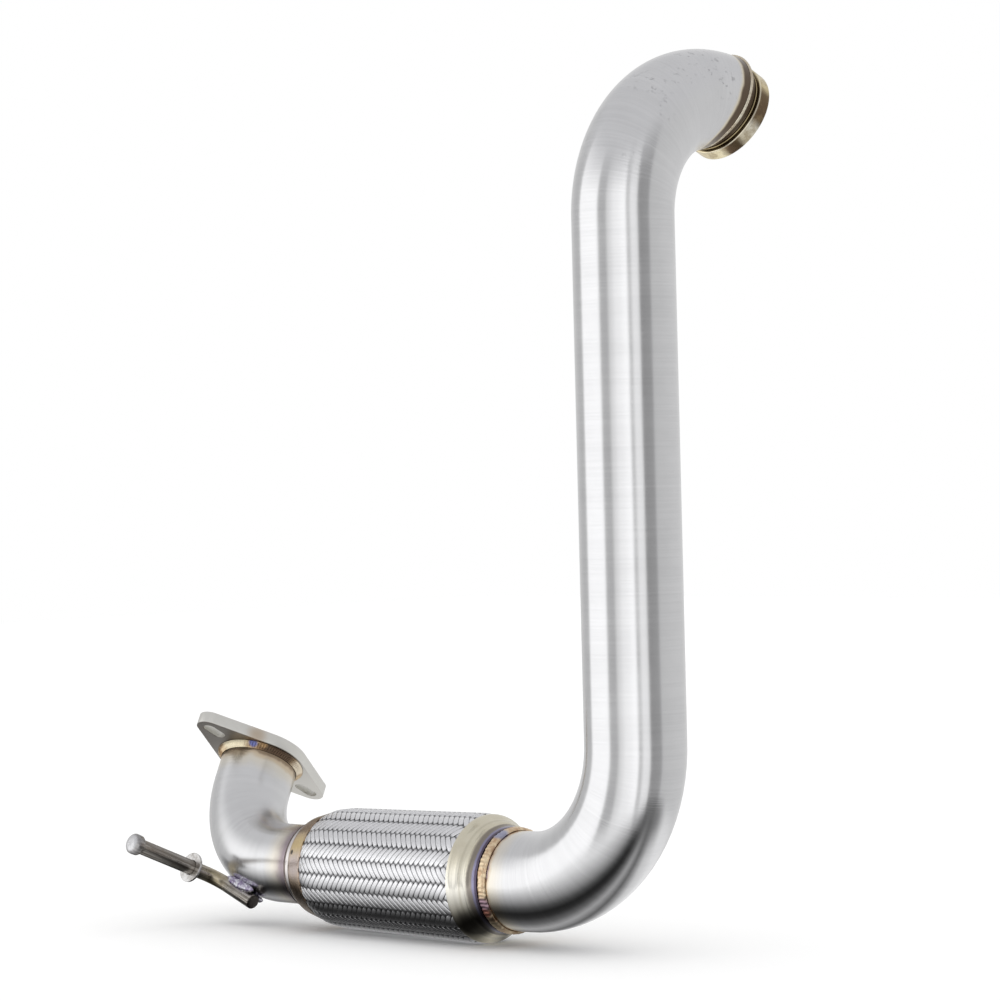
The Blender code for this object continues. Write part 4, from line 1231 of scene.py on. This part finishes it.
# Light round the near side's own bearing: (bearing in degrees, left is minus; brightness)
studioBands = [
    (-180, 0.76), (-128, 0.60), (-118, 0.62), (-112, 1.28), (-64, 1.32), (-58, 0.58), (-43, 0.56),
    (-37, 0.90), (-20, 1.15), (3, 1.34), (7, 0.66), (11, 0.72), (16, 1.08), (29, 1.04), (33, 0.36),
    (55, 0.40), (62, 0.66), (120, 0.72), (180, 0.76),
]


def byBearing(paint, x, y):
    # the light's level for a direction (x, y): its bearing from the near side's picks a band
    facing, rightward = studio["facing"], studio["rightward"]
    towards = x * facing[0] + y * facing[1]
    sideways = x * rightward[0] + y * rightward[1]
    bearing = sideways.math("ARCTAN2", towards)
    stops = [((degrees + 180) / 360, (level,) * 3) for degrees, level in studioBands]
    return paint.ramp(bearing / (2 * math.pi) + 0.5, stops)


def floorMesh():
    # one square just below the level of the lowest point
    half, z = studio["floorSize"], floorLevel - studio["floorDrop"]
    mesh = bpy.data.meshes.new("floor")
    corners = [(-half, -half, z), (half, -half, z), (half, half, z), (-half, half, z)]
    mesh.from_pydata(corners, [], [(0, 1, 2, 3)])
    return mesh


def floorMaterial():
    # A matt white floor that takes the object's shadow. Metal mirrors its own glowing version of the floor,
    # with a painted shadow: a dark strip in front of the part, a dark patch beside the bend, and a bright
    # strip behind it.
    material = bpy.data.materials.new("floorPaper")
    material.use_nodes = True
    paint = Paint(material.node_tree)
    paint.place = paint.put("ShaderNodeTexCoord", None, None, 3)
    x, y = paint.part(paint.place, 0), paint.part(paint.place, 1)
    middle, nearest, span = studio["flexMiddle"], studio["nearest"], studio["span"]
    aside = ((x + middle[0]).size() - studio["halfLength"]).math("MAXIMUM", 0.0)
    before = (y + middle[1]) * -1.0
    stops = [((metres - nearest) / span, (level,) * 3) for metres, level in floorBands]
    bands = paint.ramp((before - nearest) / span, stops, "LINEAR")
    apart = (aside * aside + before * before) ** 0.5
    far = byBearing(paint, x - float(riserFoot[0]), y - float(riserFoot[1]))
    # painted shadow: a dark patch beside the lower bend in what the metal mirrors
    beside = paint.spot((*studio["besideBend"], floorLevel), studio["besideRadius"], 0.8)
    mirrored = paint.layers(
        bands,
        (apart.step(studio["fadeFrom"], studio["fadeTo"]), far),
        (beside * studio["besideShare"], (studio["besideLevel"],) * 3),
    )
    glow = paint.put("ShaderNodeEmission", None, {"Color": mirrored})
    matt = paint.put("ShaderNodeBsdfDiffuse", None, {"Color": (studio["floorWhite"],) * 3})
    glossy = paint.put("ShaderNodeLightPath", None, None, 3)
    mixed = paint.put("ShaderNodeMixShader", None, {0: glossy, 1: matt, 2: glow})
    paint.output("ShaderNodeOutputMaterial", mixed)
    return material


floorPiece = bpy.data.objects.new("floor", floorMesh())
floorPiece.data.materials.append(floorMaterial())
bpy.context.scene.collection.objects.link(floorPiece)

view = {
    "place": (1.83381, -2.20501, -0.26966),
    "right": (0.72638536, 0.68684735, -0.02459745),
    "down": (-0.01373108, -0.02127911, -0.99967928),
    "ahead": (-0.68715047, 0.72649014, -0.00602568),
    "lens": 135.558, "sensor": 36,
}


def studioWorld():
    # Glossy rays meet a pale dome with upright soft boxes and dark flags between them, set by
    # bearing, that fade out above. All other rays meet white.
    world = bpy.data.worlds.new("studio")
    world.use_nodes = True
    bpy.context.scene.world = world
    paint = Paint(world.node_tree)
    ray = paint.put("ShaderNodeTexCoord")
    x, y, z = [paint.part(ray, index) for index in range(3)]
    upper = z.math("ARCSINE").step(studio["domeFrom"], studio["domeTo"])
    light = paint.mix(upper, byBearing(paint, x, y), studio["dome"])
    mirrored = paint.put("ShaderNodeBackground", None, {"Color": light})
    plain = paint.put("ShaderNodeBackground", None, {"Color": (1, 1, 1)})
    glossy = paint.put("ShaderNodeLightPath", None, None, 3)
    mixed = paint.put("ShaderNodeMixShader", None, {0: glossy, 1: plain, 2: mirrored})
    paint.output("ShaderNodeOutputWorld", mixed)


def placeCamera():
    # the matrix's columns are right, up, back and place
    data = bpy.data.cameras.new("camera")
    data.lens = view["lens"]
    data.sensor_width = view["sensor"]
    data.sensor_fit = "HORIZONTAL"
    camera = bpy.data.objects.new("camera", data)
    bpy.context.scene.collection.objects.link(camera)
    right, down, ahead, place = [np.array(view[key]) for key in ("right", "down", "ahead", "place")]
    turn = np.eye(4)
    turn[:3] = np.stack([right, -down, -ahead, place], -1)
    camera.matrix_world = Matrix(turn.tolist())
    bpy.context.scene.camera = camera


studioWorld()
placeCamera()
bpy.context.scene.view_settings.view_transform = "Standard"
print("stage set")
